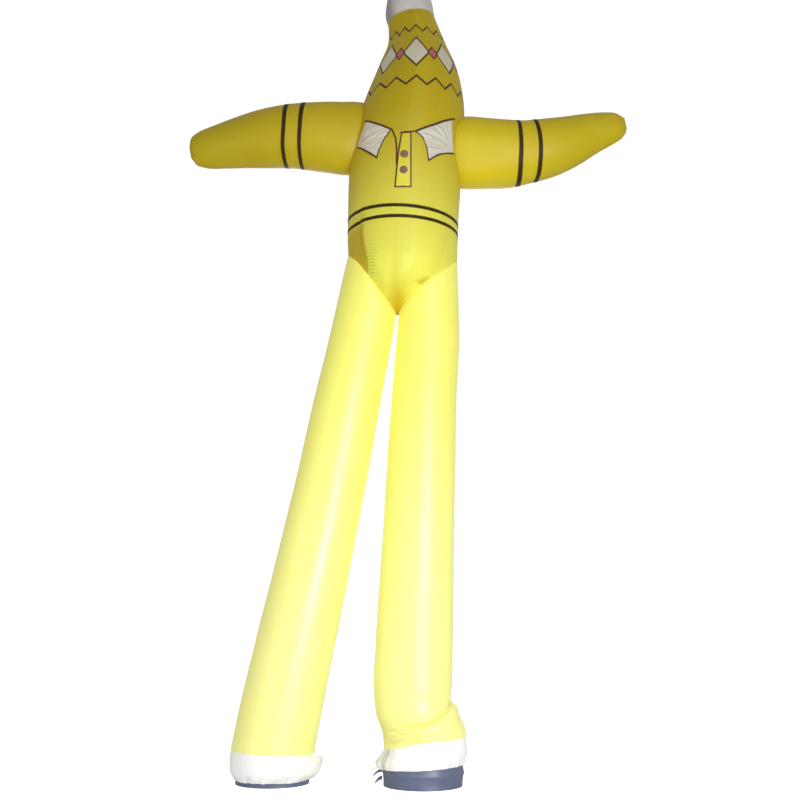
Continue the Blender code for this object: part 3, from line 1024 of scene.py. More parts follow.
@dataclass(frozen=True)
class Zigzag:
    """A printed line that zigzags round the head."""

    height: float
    swing: float
    width: float
    colour: Colour
    count: int = 20

    def mask(self, wires: Wires, place: Socket) -> Socket:
        """Where the line is.

        Args:
            wires: The material's nodes.
            place: The point on the object.

        Returns:
            The mask.
        """
        band = wires.group(GROUPS.band, Place=place, Count=self.count, Height=self.height)
        across, up, _ = wires.split(band)
        middle = wires.maths("MULTIPLY_ADD", across, 2 * self.swing, -self.swing)
        off = wires.maths("ABSOLUTE", wires.maths("SUBTRACT", up, middle))
        return wires.span(off, self.width / 2 + PRINT_EDGE, self.width / 2)


@dataclass(frozen=True)
class Lozenges:
    """A row of printed lozenges round the head."""

    height: float
    share: float  # of the repeat that a lozenge takes up
    half_height: float
    colour: Colour
    shift: float = 0.5
    count: int = 10

    def mask(self, wires: Wires, place: Socket) -> Socket:
        """Where the lozenges are.

        Args:
            wires: The material's nodes.
            place: The point on the object.

        Returns:
            The mask.
        """
        values = {"Place": place, "Count": self.count, "Shift": self.shift, "Height": self.height}
        across, up, _ = wires.split(wires.group(GROUPS.band, **values))
        over = wires.maths("DIVIDE", wires.maths("ABSOLUTE", up), self.half_height)
        reach = wires.maths("ADD", wires.maths("DIVIDE", across, self.share), over)
        return wires.span(reach, 1.03, 1.0)


@dataclass(frozen=True)
class PuckerShade:
    """Painted shade of short level puckers, as beside a seam that gathers the cloth."""

    centre: Pair
    radii: Pair
    colour: Colour
    pitch: float = 0.018

    def mask(self, wires: Wires, place: Socket) -> Socket:
        """Where the puckers' painted shade is.

        Args:
            wires: The material's nodes.
            place: The point on the object.

        Returns:
            The mask.
        """
        return wires.group(
            GROUPS.pucker_shade,
            Place=place,
            Centre=(self.centre[0], 0, self.centre[1]),
            Radii=(self.radii[0], 1, self.radii[1]),
            Pitch=self.pitch,
        )


def dimmed(colour: Colour, share: float) -> Colour:
    """A colour with its light cut to a share."""
    return (*(share * part for part in colour[:3]), 1.0)


@dataclass(frozen=True)
class Cloth:
    """A cloth finish, whose colour goes from low to high along one axis, by default upwards. Where
    low and high differ, that change is painted light and shade.
    """

    name: str
    low: Colour
    high: Colour
    heights: Pair = (0.0, 5.0)
    axis: int = 2
    roughness: float = 0.45
    specular: float = 0.24
    glow: Colour = UNLIT  # painted light: a glow that stands in for light coming through the cloth
    weave: float = 0.25
    crease: float = 0.2
    satin: float = 0.2
    prints: tuple[Line | Oval | Zigzag | Lozenges | PuckerShade, ...] = ()
    seam_shade: float = 0.16
    deep: Colour = (0.60, 0.405, 0.002, 1.0)  # painted shade, where cloth faces cloth and where less light falls

    def material(self) -> bpy.types.Material:
        """Builds the material.

        Returns:
            The material.
        """
        material = bpy.data.materials.new(self.name)
        material.use_nodes = True
        tree = material.node_tree
        shader = tree.nodes["Principled BSDF"]
        shader.inputs["Specular IOR Level"].default_value = self.specular
        shader.inputs["Emission Strength"].default_value = 1.0
        wires = Wires(tree)
        places = tree.nodes.new("ShaderNodeTexCoord").outputs
        stain = wires.noise(wires.vector("MULTIPLY", places["UV"], (7.0, 0.8, 1.0)), 1.0)
        seam = wires.attribute("seam")
        bare = self.bare_colour(wires, places, stain, seam)
        colour, glow = self.printed(wires, places["Object"], bare)
        wires.put(shader.inputs["Base Color"], colour)
        # painted light: the glow makes the cloth brighter, though it is no lamp
        wires.put(shader.inputs["Emission Color"], glow)
        rough = wires.span(stain, 0.30, 0.70, self.roughness - 0.05, self.roughness + 0.08)
        rough = wires.maths("MULTIPLY_ADD", seam, 0.15, rough, clamp=True)
        wires.put(shader.inputs["Roughness"], rough)
        wires.put(shader.inputs["Normal"], self.normal(wires, places["UV"]))
        return material

    def bare_colour(
        self,
        wires: Wires,
        places: Sockets,
        stain: Socket,
        seam: Socket,
    ) -> Socket:
        """The cloth's colour under its prints: its painted light and shade from low to high, its
        stains, painted shade in folds, the seams' painted shadow and the stitches.

        Args:
            wires: The material's nodes.
            places: The texture coordinates.
            stain: Where the cloth is stained.
            seam: Where the seams are.

        Returns:
            The colour.
        """
        along = wires.split(places["Object"])[self.axis]
        # painted light and shade: the colour changes from low to high along the axis
        clean = wires.mix(wires.span(along, *self.heights), self.low, self.high)
        stained = wires.mix(wires.span(stain, 0.35, 0.75, 0.0, 0.10), clean, dimmed(self.high, 0.6))
        # painted shade where the mesh's deep mask says
        colour = wires.mix(wires.attribute("deep"), stained, self.deep)
        # the stitches' thread, and the seams' painted shadow, are both this darker colour
        thread_and_seam_shadow = dimmed(self.high, 0.35)
        stitches = wires.group(GROUPS.stitch, Place=places["UV"], Seam=seam)
        for mask, shade in ((seam, self.seam_shade), (stitches, 2 * self.seam_shade)):
            colour = wires.mix(wires.maths("MULTIPLY", mask, shade), colour, thread_and_seam_shadow)
        return colour

    def printed(
        self, wires: Wires, place: Socket, colour: Socket
    ) -> tuple[Socket, Socket | Colour]:
        """Lays the prints on the cloth. The painted glow doesn't show through them.

        Args:
            wires: The material's nodes.
            place: The point on the object.
            colour: The bare cloth's colour.

        Returns:
            The colour and the painted glow.
        """
        glow = self.glow
        for shape in self.prints:
            mask = shape.mask(wires, place)
            colour = wires.mix(mask, colour, shape.colour)
            if self.glow != UNLIT:
                glow = wires.mix(mask, glow, UNLIT)
        return colour, glow

    def normal(self, wires: Wires, place: Socket) -> Socket:
        """The cloth's fine relief.

        Args:
            wires: The material's nodes.
            place: The point in the cloth's own metres.

        Returns:
            The normal.
        """
        weave = wires.group(GROUPS.weave, Place=place)
        crease = wires.group(GROUPS.crease, Place=place)
        satin = wires.group(GROUPS.crease, Place=place, Stretch=(55.0, 2.2, 1.0))
        normal = None
        bumps = (
            (crease, self.crease, 0.004),
            (satin, self.satin, 0.0012),
            (weave, self.weave, 0.0003),
        )
        for height, strength, distance in bumps:
            bump = wires.tree.nodes.new("ShaderNodeBump")
            bump.inputs["Strength"].default_value = strength
            bump.inputs["Distance"].default_value = distance
            wires.put(bump.inputs["Height"], height)
            if normal is not None:
                wires.put(bump.inputs["Normal"], normal)
            normal = bump.outputs[0]
        return normal


def plain(name: str, colour: Colour, lines: Sequence[Line] = (), **more: object) -> Cloth:
    """A cloth of one colour, with lines printed on it."""
    return Cloth(name, low=colour, high=colour, prints=tuple(lines), **more)


# ---------------- colours and finishes

BROWN_LINE = (0.100, 0.042, 0.016, 1.0)
PRINT_BROWN = (0.055, 0.026, 0.012, 1.0)
CREAM = (0.64, 0.60, 0.46, 1.0)
PINK = (0.50, 0.13, 0.15, 1.0)
# The body's paler hips and darker head are painted light and shade on one yellow cloth.
YELLOW_HEAD = (0.535, 0.405, 0.002, 1.0)
YELLOW_HIPS = (0.86, 0.84, 0.110, 1.0)
# painted shade in the dent at the right leg's seam
DENT_SHADE = (0.55, 0.44, 0.02, 1.0)
HIPS_TO_CHEST = (2.95, 4.12)  # heights between which the body's yellow changes, painted shade that darkens upwards
LINE_WIDTH = 0.0100
TRIM_LINE_WIDTH = 1.7 * LINE_WIDTH  # along the edge of a piece of trim, which hides part of it
LOZENGE_HEIGHT = 4.435
HEAD_PRINTS = (
    Zigzag(4.640, 0.024, 0.015, PRINT_BROWN, count=16),
    Lozenges(LOZENGE_HEIGHT, 0.82, 0.125, PRINT_BROWN, count=8),
    Lozenges(LOZENGE_HEIGHT, 0.70, 0.106, CREAM, count=8),
    Lozenges(LOZENGE_HEIGHT, 0.36, 0.056, PRINT_BROWN, shift=0.0, count=8),
    Lozenges(LOZENGE_HEIGHT, 0.26, 0.040, PINK, shift=0.0, count=8),
    Zigzag(4.210, 0.030, 0.017, PRINT_BROWN, count=16),
)
OPENING_LINE = (
    (-0.278, 3.990),
    (-0.190, 3.923),
    (-0.106, 3.867),
    (-0.084, 3.806),
    (-0.077, 3.730),
    (-0.079, 3.640),
)
NECK_LINE = ((-0.051, 3.842), (0.033, 3.850), (0.150, 3.912), (0.284, 4.002))

BODY_CLOTH = Cloth(
    "body yellow cloth",
    low=YELLOW_HIPS,
    high=YELLOW_HEAD,
    heights=HIPS_TO_CHEST,
    prints=(
        # painted shade in the dent at the right leg's seam
        Oval((0.100, 2.932), (0.045, 0.012), DENT_SHADE, softness=0.9),
        Oval((0.135, 2.944), (0.045, 0.016), DENT_SHADE, softness=0.9),
        Oval((0.170, 2.956), (0.045, 0.012), DENT_SHADE, softness=0.9),
        # painted shade of short puckers beside the left seam
        PuckerShade((-0.242, 3.050), (0.046, 0.115), (0.56, 0.48, 0.04, 1.0)),
        Line(OPENING_LINE, LINE_WIDTH, BROWN_LINE),
        Line(NECK_LINE, LINE_WIDTH, BROWN_LINE),
        *HEAD_PRINTS,
    ),
)
# painted shade: the left front panel is painted a darker yellow high up, the shaded side of the crest
SHADED_LEFT_BODY_CLOTH = replace(
    BODY_CLOTH, name="left body yellow cloth", high=(0.500, 0.368, 0.001, 1.0)
)
BACK_CLOTH = replace(BODY_CLOTH, name="back yellow cloth", prints=HEAD_PRINTS)
# Painted light and shade: the sleeves are the body's one yellow cloth, the right one painted lighter
# than the left, and each darker towards its hand.
LEFT_SLEEVE_CLOTH = Cloth(
    "left sleeve yellow cloth",
    low=(0.49, 0.375, 0.004, 1.0),
    high=(0.585, 0.445, 0.004, 1.0),
    heights=(-1.1, -0.35),
    axis=0,
)
RIGHT_SLEEVE_CLOTH = Cloth(
    "right sleeve yellow cloth",
    low=(0.71, 0.565, 0.008, 1.0),
    high=(0.57, 0.445, 0.006, 1.0),
    heights=(0.35, 1.1),
    axis=0,
)
# Painted light: the legs are painted paler than the body and paler towards the feet, and a painted
# glow brightens them.
LEG_CLOTH = Cloth(
    "leg yellow cloth",
    low=(0.90, 0.90, 0.31, 1.0),
    high=(0.88, 0.87, 0.135, 1.0),
    heights=(0.3, 2.9),
    glow=(0.15, 0.14, 0.045, 1.0),
    roughness=0.37,
    specular=0.6,
)
# painted shade in the cuffs' creases, and a painted glow that brightens the white
WHITE_CLOTH = plain(
    "cuff white cloth",
    (0.93, 0.93, 0.95, 1.0),
    deep=(0.58, 0.56, 0.52, 1.0),
    glow=(0.09, 0.09, 0.09, 1.0),
)
# painted shade down the cap's left side
CAP_CLOTH = plain("cap white cloth", (0.63, 0.60, 0.585, 1.0), deep=(0.24, 0.24, 0.24, 1.0))
# painted light and shade: darker upwards, as on the body
PLACKET_CLOTH = Cloth(
    "placket cloth",
    low=(0.80, 0.74, 0.060, 1.0),
    high=(0.66, 0.60, 0.012, 1.0),
    heights=(3.49, 3.80),
)
STRIPE_CLOTH = plain("dark stripe cloth", (0.042, 0.024, 0.004, 1.0), specular=0.12)
BUTTON_CLOTH = plain("button cloth", (0.22, 0.125, 0.085, 1.0))
SLATE_CLOTH = plain(
    "slate band cloth", (0.122, 0.148, 0.250, 1.0), roughness=0.4, specular=0.5
)


# ---------------- body

LEVEL_STEPS = 4  # that find the leaning ring on which a point lies


def coons(
    top: Sequence, right: Sequence, bottom: Sequence, left: Sequence, rows: int, columns: int
) -> Array:
    """Fills a four-sided outline.

    Args:
        top: The top edge's points as (x, height), to the right.
        right: The right edge's points, downwards.
        bottom: The bottom edge's points, to the right.
        left: The left edge's points, downwards.
        rows: How many rows of points.
        columns: How many columns.

    Returns:
        The points' (x, height), in rows from the top.
    """

    def edge(points: Sequence, count: int) -> Array:
        """Evenly spread points on a smooth line through an edge's points.

        Args:
            points: The edge's points.
            count: How many to give.

        Returns:
            The points on the line.
        """
        points = np.array(points, float)
        keys = distances(np.linalg.norm(np.diff(points, axis=0), axis=1))
        return smooth_curve(keys, points, np.linspace(0, keys[-1], count))

    top, bottom = edge(top, columns), edge(bottom, columns)
    left, right = edge(left, rows), edge(right, rows)
    u = np.linspace(0, 1, columns)[None, :, None]
    v = np.linspace(0, 1, rows)[:, None, None]
    sides = left[:, None] * (1 - u) + right[:, None] * u
    ends = top[None] * (1 - v) + bottom[None] * v
    upper = top[0] * (1 - u) + top[-1] * u
    lower = bottom[0] * (1 - u) + bottom[-1] * u
    return sides + ends - (upper * (1 - v) + lower * v)


def leaning_ring(centre: Array, reach: Array, slope: Array, angle: Array, height: Array) -> Array:
    """Points on rings that lean to one side.

    Args:
        centre: The rings' middle x.
        reach: Distance of each point from the middle.
        slope: The rings' rise for each metre to the right.
        angle: Degrees from the front, to the right.
        height: Height of the rings' middle.

    Returns:
        The points.
    """
    across = reach * np.sin(np.radians(angle))
    forward = -reach * np.cos(np.radians(angle))
    return np.stack([centre + across, forward, height + slope * across], axis=-1)


@dataclass(frozen=True)
class Collar:
    """One of the two collar shapes, which fans out in folds from its lower inner corner."""

    side: Side
    top: tuple[Pair, ...]  # edges, as (x, height)
    right: tuple[Pair, ...]
    bottom: tuple[Pair, ...]
    left: tuple[Pair, ...]
    colour: Colour
    flat: Pair
    seed: int
    count: int = 60
    fold: float = 0.009

    def edges(self) -> tuple:
        """The top, right, bottom and left edges."""
        return self.top, self.right, self.bottom, self.left

    def lined_edges(self) -> tuple:
        """The edges that carry a printed line."""
        return self.top, self.right if self.side is Side.LEFT else self.left, self.bottom

    def folds(self) -> Array:
        """How far the folds stand off the cloth.

        Returns:
            The relief, in rows.
        """
        share = np.linspace(0, 1, self.count)
        away = share if self.side is Side.LEFT else share[::-1]
        up = share[::-1][:, None]
        reach = np.hypot(away[None], up)
        waves = wavy(np.arctan2(up, away[None]) * 11, reach * 1.6, self.seed)
        inside = ramp(np.minimum(share, share[::-1]), 0, 0.08)
        return self.fold * np.abs(waves) * ramp(reach, 0.02, 0.45) * inside[None] * inside[:, None]


COLLARS = (
    Collar(
        Side.LEFT,
        top=((-0.266, 3.982), (-0.190, 3.923), (-0.106, 3.867)),
        right=((-0.106, 3.867), (-0.150, 3.810), (-0.182, 3.742), (-0.198, 3.686)),
        bottom=((-0.326, 3.820), (-0.264, 3.752), (-0.198, 3.686)),
        left=((-0.266, 3.982), (-0.299, 3.905), (-0.326, 3.820)),
        colour=(0.71, 0.66, 0.56, 1.0),
        flat=(0.24, 0.21),
        seed=53,
    ),
    Collar(
        Side.RIGHT,
        top=((0.033, 3.848), (0.150, 3.911), (0.268, 3.992)),
        right=((0.268, 3.992), (0.270, 3.885), (0.280, 3.770)),
        bottom=((0.114, 3.662), (0.190, 3.722), (0.280, 3.770)),
        left=((0.033, 3.848), (0.078, 3.812), (0.102, 3.750), (0.114, 3.662)),
        colour=(0.68, 0.65, 0.56, 1.0),
        flat=(0.25, 0.22),
        seed=57,
    ),
)


@dataclass
class Body:
    """The body's surface and the pieces of cloth that lie on it."""

    sections: tuple[BodySection, ...] = BODY
    front_seams: Pair = (-44.0, 44.0)  # degrees from the front
    other_seams: tuple[float, ...] = (-90.0, 90.0, -180.0, 180.0, 270.0)
    seam_radius: float = 0.34  # metres round the body for each radian
    panel_columns: int = 104
    back_columns: int = 134
    trunk_rows: int = 150
    pelvis_rows: int = 76
    cap_columns: int = 144
    cap_rows: int = 56
    stripe_columns: int = 288
    fullness: float = 0.8  # how long the cloth runs straight down before it turns into a leg
    tuck: float = 1.6  # how strongly the belly turns in under itself before it meets the legs
    crotch_angle: float = 1.2
    crotch_turn: float = 9.0
    crotch_pull: float = 0.26
    gathered: Pair = (3.46, 3.30)  # heights where the cloth becomes gathered
    hip_hollow: float = 0.011
    crest: float = 0.024  # along the front of the head
    crest_angle: float = 34.0
    front_seam: Seam = Seam(0.0013, 0.007, 0.0006)
    other_seam: Seam = Seam(0.0020, 0.008, 0.0007)
    slack: Slack = Slack(0.0016, 30, 0.35, 11)
    neck_slack: Slack = Slack(0.0016, 9, 0.2, 23)
    cap_slack: Slack = Slack(0.0030, 12, 0.10, 31)

    def __post_init__(self) -> None:
        """Sorts the sections upwards, ready to be read."""
        self.heights, self.values = rising(self.sections)

    def read(self, level: Array) -> Array:
        """The body's middle x, radius and slope at a height, as three arrays."""
        return np.moveaxis(smooth_curve(self.heights, self.values, level), -1, 0)

    def relief(self, angle: Array, height: Array) -> Array:
        """How far the cloth stands off a smooth tube: seams, puckers and soft hollows.

        Args:
            angle: Degrees from the front, to the right.
            height: Height of each point.

        Returns:
            The relief.
        """
        found = self.slack.relief(angle, height)
        below_waist = ramp(height, *self.gathered)
        for seam in self.front_seams:
            off = self.off_seam(angle, seam * self.bend(height))
            pinch = self.front_seam.relief(off, height, 400 + int(seam))
            found = found + pinch * (0.1 + 0.9 * below_waist)
        for seam in self.other_seams:
            off = self.off_seam(angle, seam)
            found = found + self.other_seam.relief(off, height, 400 + int(seam))
        behind = self.behind_left_seam(angle, height)
        hollow = below_waist * ramp(behind, 0.0, 0.05) * ramp(behind, 0.25, 0.10)
        ridge = np.clip(1 - np.abs(angle) / self.crest_angle, 0, 1)
        ridge = ridge * ramp(height, 4.05, 4.50) * ramp(height, 4.81, 4.75)
        neck = ramp(height, 4.60, 4.80) * self.neck_slack.relief(angle, height)
        return found - self.hip_hollow * hollow + self.crest * ridge + neck

    def off_seam(self, angle: Array, seam: float | Array) -> Array:
        """Distance round the body from a lengthwise seam, in metres to the right."""
        return np.radians(angle - seam) * self.seam_radius

    def bend(self, height: Array) -> Array:
        """How much further out the front seams run at each height, as a factor of their angle."""
        return 1 + 0.11 * ramp(height, 3.26, 2.98)

    def behind_left_seam(self, angle: Array, height: Array) -> Array:
        """Distance round the body behind the left one of the front seams."""
        return -self.off_seam(angle, self.front_seams[0] * self.bend(height))

    def ring(self, angle: Array, height: Array, bare: bool = False) -> Array:
        """Points on the body above the hips.

        Args:
            angle: Degrees from the front, to the right.
            height: Height of the ring's middle.
            bare: Leaves out the seams, puckers and hollows.

        Returns:
            The points.
        """
        centre, radius, slope = self.read(height)
        reach = radius + (0 if bare else self.relief(angle, height))
        return leaning_ring(centre, reach, slope, angle, height)

    def hem_end(self, side: Side, from_front: float, off_middle: float) -> Array:
        """Where a column of cloth ends.

        Args:
            side: The leg that it meets.
            from_front: Its degrees from the front.
            off_middle: Its degrees from the middle of the front or the back.

        Returns:
            The end.
        """
        if off_middle < self.crotch_angle:
            middle = (np.array(LEFT_CROTCH) + np.array(RIGHT_CROTCH)) / 2
            return middle + (leg_seam(side, 0.0) - middle) * off_middle / self.crotch_angle
        spread = (self.crotch_angle, self.crotch_turn, 90.0)
        turn = float(np.interp(off_middle, spread, (0.0, 2 * self.crotch_turn, 180.0)))
        return leg_seam(side, turn if from_front < 90 else FULL_TURN - turn)

    def hem(self, angle: Array) -> tuple[Array, Array]:
        """Where each column of cloth ends, and the direction that it ends in.

        Args:
            angle: Degrees from the front, to the right.

        Returns:
            The ends and the directions.
        """
        ends, directions = [], []
        for value in angle:
            across = math.sin(math.radians(value))
            side = Side.RIGHT if across > 0 else Side.LEFT
            from_front = abs(wrapped(value))
            off_middle = min(from_front, 180 - from_front)
            ends.append(self.hem_end(side, from_front, off_middle))
            pull = self.tuck * float(ramp(off_middle, 80, 40))
            pull += self.crotch_pull * math.exp(-((off_middle / 7) ** 2))
            drop = -0.33 - 0.67 * float(ramp(off_middle, 5, 50))
            down = np.array((0, 0, drop)) * (1 - abs(across)) + leg_run(side) * abs(across)
            directions.append(down + (0, pull if from_front < 90 else -pull, 0))
        return np.array(ends), np.array(directions)

    def pelvis(self, angle: Array, share: Array) -> Array:
        """Points on the cloth between the hips and the legs.

        Args:
            angle: Degrees from the front, for each column.
            share: How far down each row lies, from 0 to 1.

        Returns:
            The points, in rows from the top.
        """
        ends, directions = self.hem(angle)
        first = self.ring(angle, np.full(angle.shape, self.heights[0]), bare=True)
        above = self.ring(angle, np.full(angle.shape, self.heights[0] + 0.01), bare=True)
        over_hips = bell(((angle + 90) % 180 - 90) / 26, 1.0)[:, None]
        length = np.linalg.norm(ends - first, axis=1, keepdims=True)
        length = length * (self.fullness + 0.25 * over_hips)
        down = (first - above) / np.linalg.norm(first - above, axis=1, keepdims=True) * length
        return hermite(first, ends, down, directions * length, share[:, None, None])

    def panel(self, start: float, stop: float, columns: int) -> ClothGrid:
        """The cloth between two lengthwise seams, from the cap down to the legs.

        Args:
            start: First seam's angle.
            stop: Last seam's angle.
            columns: How many columns of points.

        Returns:
            The cloth.
        """
        angle = np.linspace(start, stop, columns)
        level = np.linspace(self.heights[-1], self.heights[0], self.trunk_rows)
        trunk = self.ring(*np.meshgrid(angle, level), bare=True)
        share = np.arange(1, self.pelvis_rows + 1) / self.pelvis_rows
        grid = ClothGrid(np.concatenate([trunk, self.pelvis(angle, share)]), closed=False)
        below_hips = np.concatenate([np.zeros(self.trunk_rows), share])[:, None]
        angles = np.broadcast_to(angle, grid.seam.shape)
        levels = grid.points[..., 2].copy()
        grid.raise_by(self.relief(angles, levels) * ramp(below_hips, 0.95, 0.35))
        grid.seam = self.seam_mask(angles, levels)
        grid.deep = self.painted_shade_mask(angles, grid.points[..., 0], levels)
        return grid

    def painted_shade_mask(self, angle: Array, x: Array, height: Array) -> Array:
        """How dark the painted shade is at each point: where cloth faces it at the left hip and
        crotch, and down the shaded left side.

        Args:
            angle: Degrees from the front, to the right.
            x: The point's x.
            height: Its height.

        Returns:
            The mask.
        """
        behind = self.behind_left_seam(angle, height)
        strip = ramp(behind, -0.002, 0.006) * ramp(behind, 0.30, 0.16) * ramp(height, 3.36, 3.24)
        tip = bell(height - LEFT_CROTCH[2], 0.11) * bell(x + 0.074, 0.075)
        side = ramp(angle, -50, -84) * ramp(angle, -120, -95)
        side = side * ramp(height, 3.36, 3.50) * ramp(height, 4.45, 4.0)
        return np.maximum(np.maximum(0.9 * strip, 0.95 * tip), 0.4 * side)

    def seam_mask(self, angle: Array, height: Array) -> Array:
        """How dark the seam's shadow is at each point.

        Args:
            angle: Degrees from the front, to the right.
            height: Height of each point.

        Returns:
            1 on a seam, 0 off it, and less where a seam lies smooth.
        """
        mask = np.zeros(angle.shape)
        left, right = (seam * self.bend(height) for seam in self.front_seams)
        seams = [(left, 1.0), (right, 0.15), (0, 0.3)]
        seams += [(seam, 1.0) for seam in self.other_seams]
        for seam, strength in seams:
            mask = np.maximum(mask, strength * bell(self.off_seam(angle, seam), 0.0045))
        return mask * (0.15 + 0.85 * ramp(height, *self.gathered))

    def find(self, x: Array, height: Array) -> tuple[Array, Array]:
        """The angle and the ring height of a point seen from the front.

        Args:
            x: The point's x.
            height: Its height.

        Returns:
            The angle in degrees, and the height of the ring's middle.
        """
        level = np.array(height, float)
        for _ in range(LEVEL_STEPS):
            centre, radius, slope = self.read(level)
            level = height - slope * (x - centre)
        return np.degrees(np.arcsin(np.clip((x - centre) / radius, -1, 1))), level

    def patch(self, outline: Array, closed: bool = False, head: Array | None = None) -> ClothGrid:
        """Cloth on the body, from rows of (x, height), or closed rings with a point at their head."""
        points = self.ring(*self.find(outline[..., 0], outline[..., 1]))
        return ClothGrid(points, closed, head=None if head is None else tuple(head))

    def make_panels(self) -> None:
        """Makes the two front panels and the back panel."""
        halves = (("left", -90.0, 0.0, SHADED_LEFT_BODY_CLOTH), ("right", 0.0, 90.0, BODY_CLOTH))
        for name, start, stop, finish in halves:
            grid = self.panel(start, stop, self.panel_columns)
            piece = grid.build(f"cloth_front_{name}", CLOTH, finish)
            add_piece(piece, [f"body_front_{name}"], flat=(0.52, 1.92))
        piece = self.panel(90.0, 270.0, self.back_columns).build("cloth_back", CLOTH, BACK_CLOTH)
        add_piece(piece, ["body_back"], flat=(0.98, 1.92))

    def make_cap(self) -> None:
        """Makes the cap that closes the head."""
        heights, values = rising(CAP)
        level = np.linspace(heights[-1], heights[0], self.cap_rows)
        angle = np.arange(0, FULL_TURN, FULL_TURN / self.cap_columns) - 180
        angles, levels = np.meshgrid(angle, level)
        centre, radius, slope = np.moveaxis(smooth_curve(heights, values, levels), -1, 0)
        creases = self.cap_slack.relief(angles, levels) * ramp(levels, 5.03, 4.95)
        groove = 0.0015 * bell(levels - 4.822, 0.006)
        reach = radius + creases * ramp(levels, heights[0], 4.83) - groove
        points = leaning_ring(centre, reach, slope, angles, levels)
        grid = ClothGrid(points, closed=True, head=CAP_TOP)
        # painted shade down the cap's left side
        left = ramp(angles, -28, -64) * ramp(angles, -178, -105)
        grid.deep = 0.72 * left * ramp(levels, 5.05, 4.93)
        add_piece(grid.build("cloth_cap", CLOTH, CAP_CLOTH), ["head_cap"], flat=(1.06, 0.26))

    def make_waist_stripes(self) -> None:
        """Makes the two dark stripes round the waist."""
        angle = np.arange(0, FULL_TURN, FULL_TURN / self.stripe_columns) - 180
        edges = np.linspace(WAIST_STRIPE_WIDTH / 2, -WAIST_STRIPE_WIDTH / 2, STRIPE_ROWS)
        for name, height, slope in (("upper", 3.372, -0.055), ("lower", 3.304, -0.040)):
            rows = []
            for edge in edges:
                level = np.full(angle.shape, height + edge)
                for _ in range(LEVEL_STEPS):
                    _, radius, own = self.read(level)
                    level = height + edge + (slope - own) * radius * np.sin(np.radians(angle))
                rows.append(self.ring(angle, level))
            grid = ClothGrid(np.array(rows), closed=True)
            grid.raise_by(ON_TOP)
            piece = grid.build(f"cloth_waist_stripe_{name}", TRIM_CLOTH, STRIPE_CLOTH)
            add_piece(piece, [f"waist_stripe_{name}"], flat=(2.21, WAIST_STRIPE_WIDTH))

    def make_collar(self) -> None:
        """Makes the two collar shapes."""
        for shape in COLLARS:
            name = shape.side.name.lower()
            grid = self.patch(coons(*shape.edges(), shape.count, shape.count))
            grid.raise_by(ON_TOP + shape.folds())
            lines = [Line(edge, TRIM_LINE_WIDTH, BROWN_LINE) for edge in shape.lined_edges()]
            finish = plain(f"{name} collar cloth", shape.colour, lines, roughness=0.6, crease=0.6)
            piece = grid.build(f"cloth_collar_{name}", TRIM_CLOTH, finish)
            add_piece(piece, [f"collar_{name}"], flat=shape.flat)

    def make_placket(self) -> None:
        """Makes the strip of the shirt opening."""
        top = ((-0.051, 3.842), (0.014, 3.846))
        right = ((0.014, 3.846), (0.013, 3.485))
        bottom = ((-0.092, 3.485), (0.013, 3.485))
        left = ((-0.051, 3.842), (-0.072, 3.700), (-0.092, 3.485))
        edges = (top, right, bottom, left)
        grid = self.patch(coons(*edges, rows=100, columns=32))
        grid.raise_by(ON_TOP)
        lines = tuple(Line(edge, TRIM_LINE_WIDTH, BROWN_LINE) for edge in edges)
        piece = grid.build("cloth_placket", TRIM_CLOTH, replace(PLACKET_CLOTH, prints=lines))
        add_piece(piece, ["placket"], flat=(0.10, 0.36))

    def make_buttons(self) -> None:
        """Makes the two buttons, which are raised in the middle."""
        radius, hem, rise = 0.025, 0.0026, 0.0012
        turns = np.radians(np.arange(0, FULL_TURN, FULL_TURN / 48))
        reach = np.linspace(0.08, 1.0, 8)[:, None] * radius
        for name, x, height in (("upper", -0.031, 3.699), ("lower", -0.035, 3.597)):
            disc = np.stack([x + reach * np.cos(turns), height + reach * np.sin(turns)], axis=-1)
            middle = self.ring(*self.find(np.array(x), np.array(height)))
            grid = self.patch(disc, closed=True, head=middle - np.array((0, hem + rise, 0)))
            grid.raise_by(hem + rise * (1 - (reach / radius) ** 2))
            piece = grid.build(f"cloth_button_{name}", TRIM_CLOTH, BUTTON_CLOTH)
            add_piece(piece, [f"button_{name}"], flat=(0.05, 0.05))


# ---------------- legs


def hip_and_crotch(side: Side) -> tuple[Array, Array]:
    """The two ends of a leg's slanted seam, as points."""
    ends = (LEFT_HIP, LEFT_CROTCH) if side is Side.LEFT else (RIGHT_HIP, RIGHT_CROTCH)
    return np.array(ends[0]), np.array(ends[1])


def leg_seam(side: Side, turn: float | Array) -> Array:
    """Points on a leg's seam with the body.

    Args:
        side: Which leg.
        turn: Degrees round the leg: 0 at the crotch, 90 at the front, 180 at the hip.

    Returns:
        The points.
    """
    hip, crotch = hip_and_crotch(side)
    turn = np.radians(np.asarray(turn, float))[..., None]
    depth = np.array((0.0, -SEAM_HALF_DEPTH, 0.0))
    outward = (1 - np.cos(turn[..., 0])) / 2
    drops = np.array(LEFT_SAG if side is Side.LEFT else RIGHT_SAG)
    sag = smooth_curve(SEAM_PLACES, drops, np.atleast_1d(outward)).reshape(outward.shape)
    points = (hip + crotch) / 2 + (crotch - hip) / 2 * np.cos(turn) + depth * np.sin(turn)
    return points - sag[..., None] * np.array((0.0, 0.0, 1.0))


def leg_run(side: Side) -> Array:
    """The direction in which the top of a leg runs.

    Args:
        side: Which leg.

    Returns:
        The direction, of length 1.
    """
    top, low = (LEFT_LEG if side is Side.LEFT else RIGHT_LEG)[:3:2]
    drop = low.height - top.height
    run = np.array((low.centre_x - top.centre_x, low.centre_y - top.centre_y, drop))
    return run / np.linalg.norm(run)


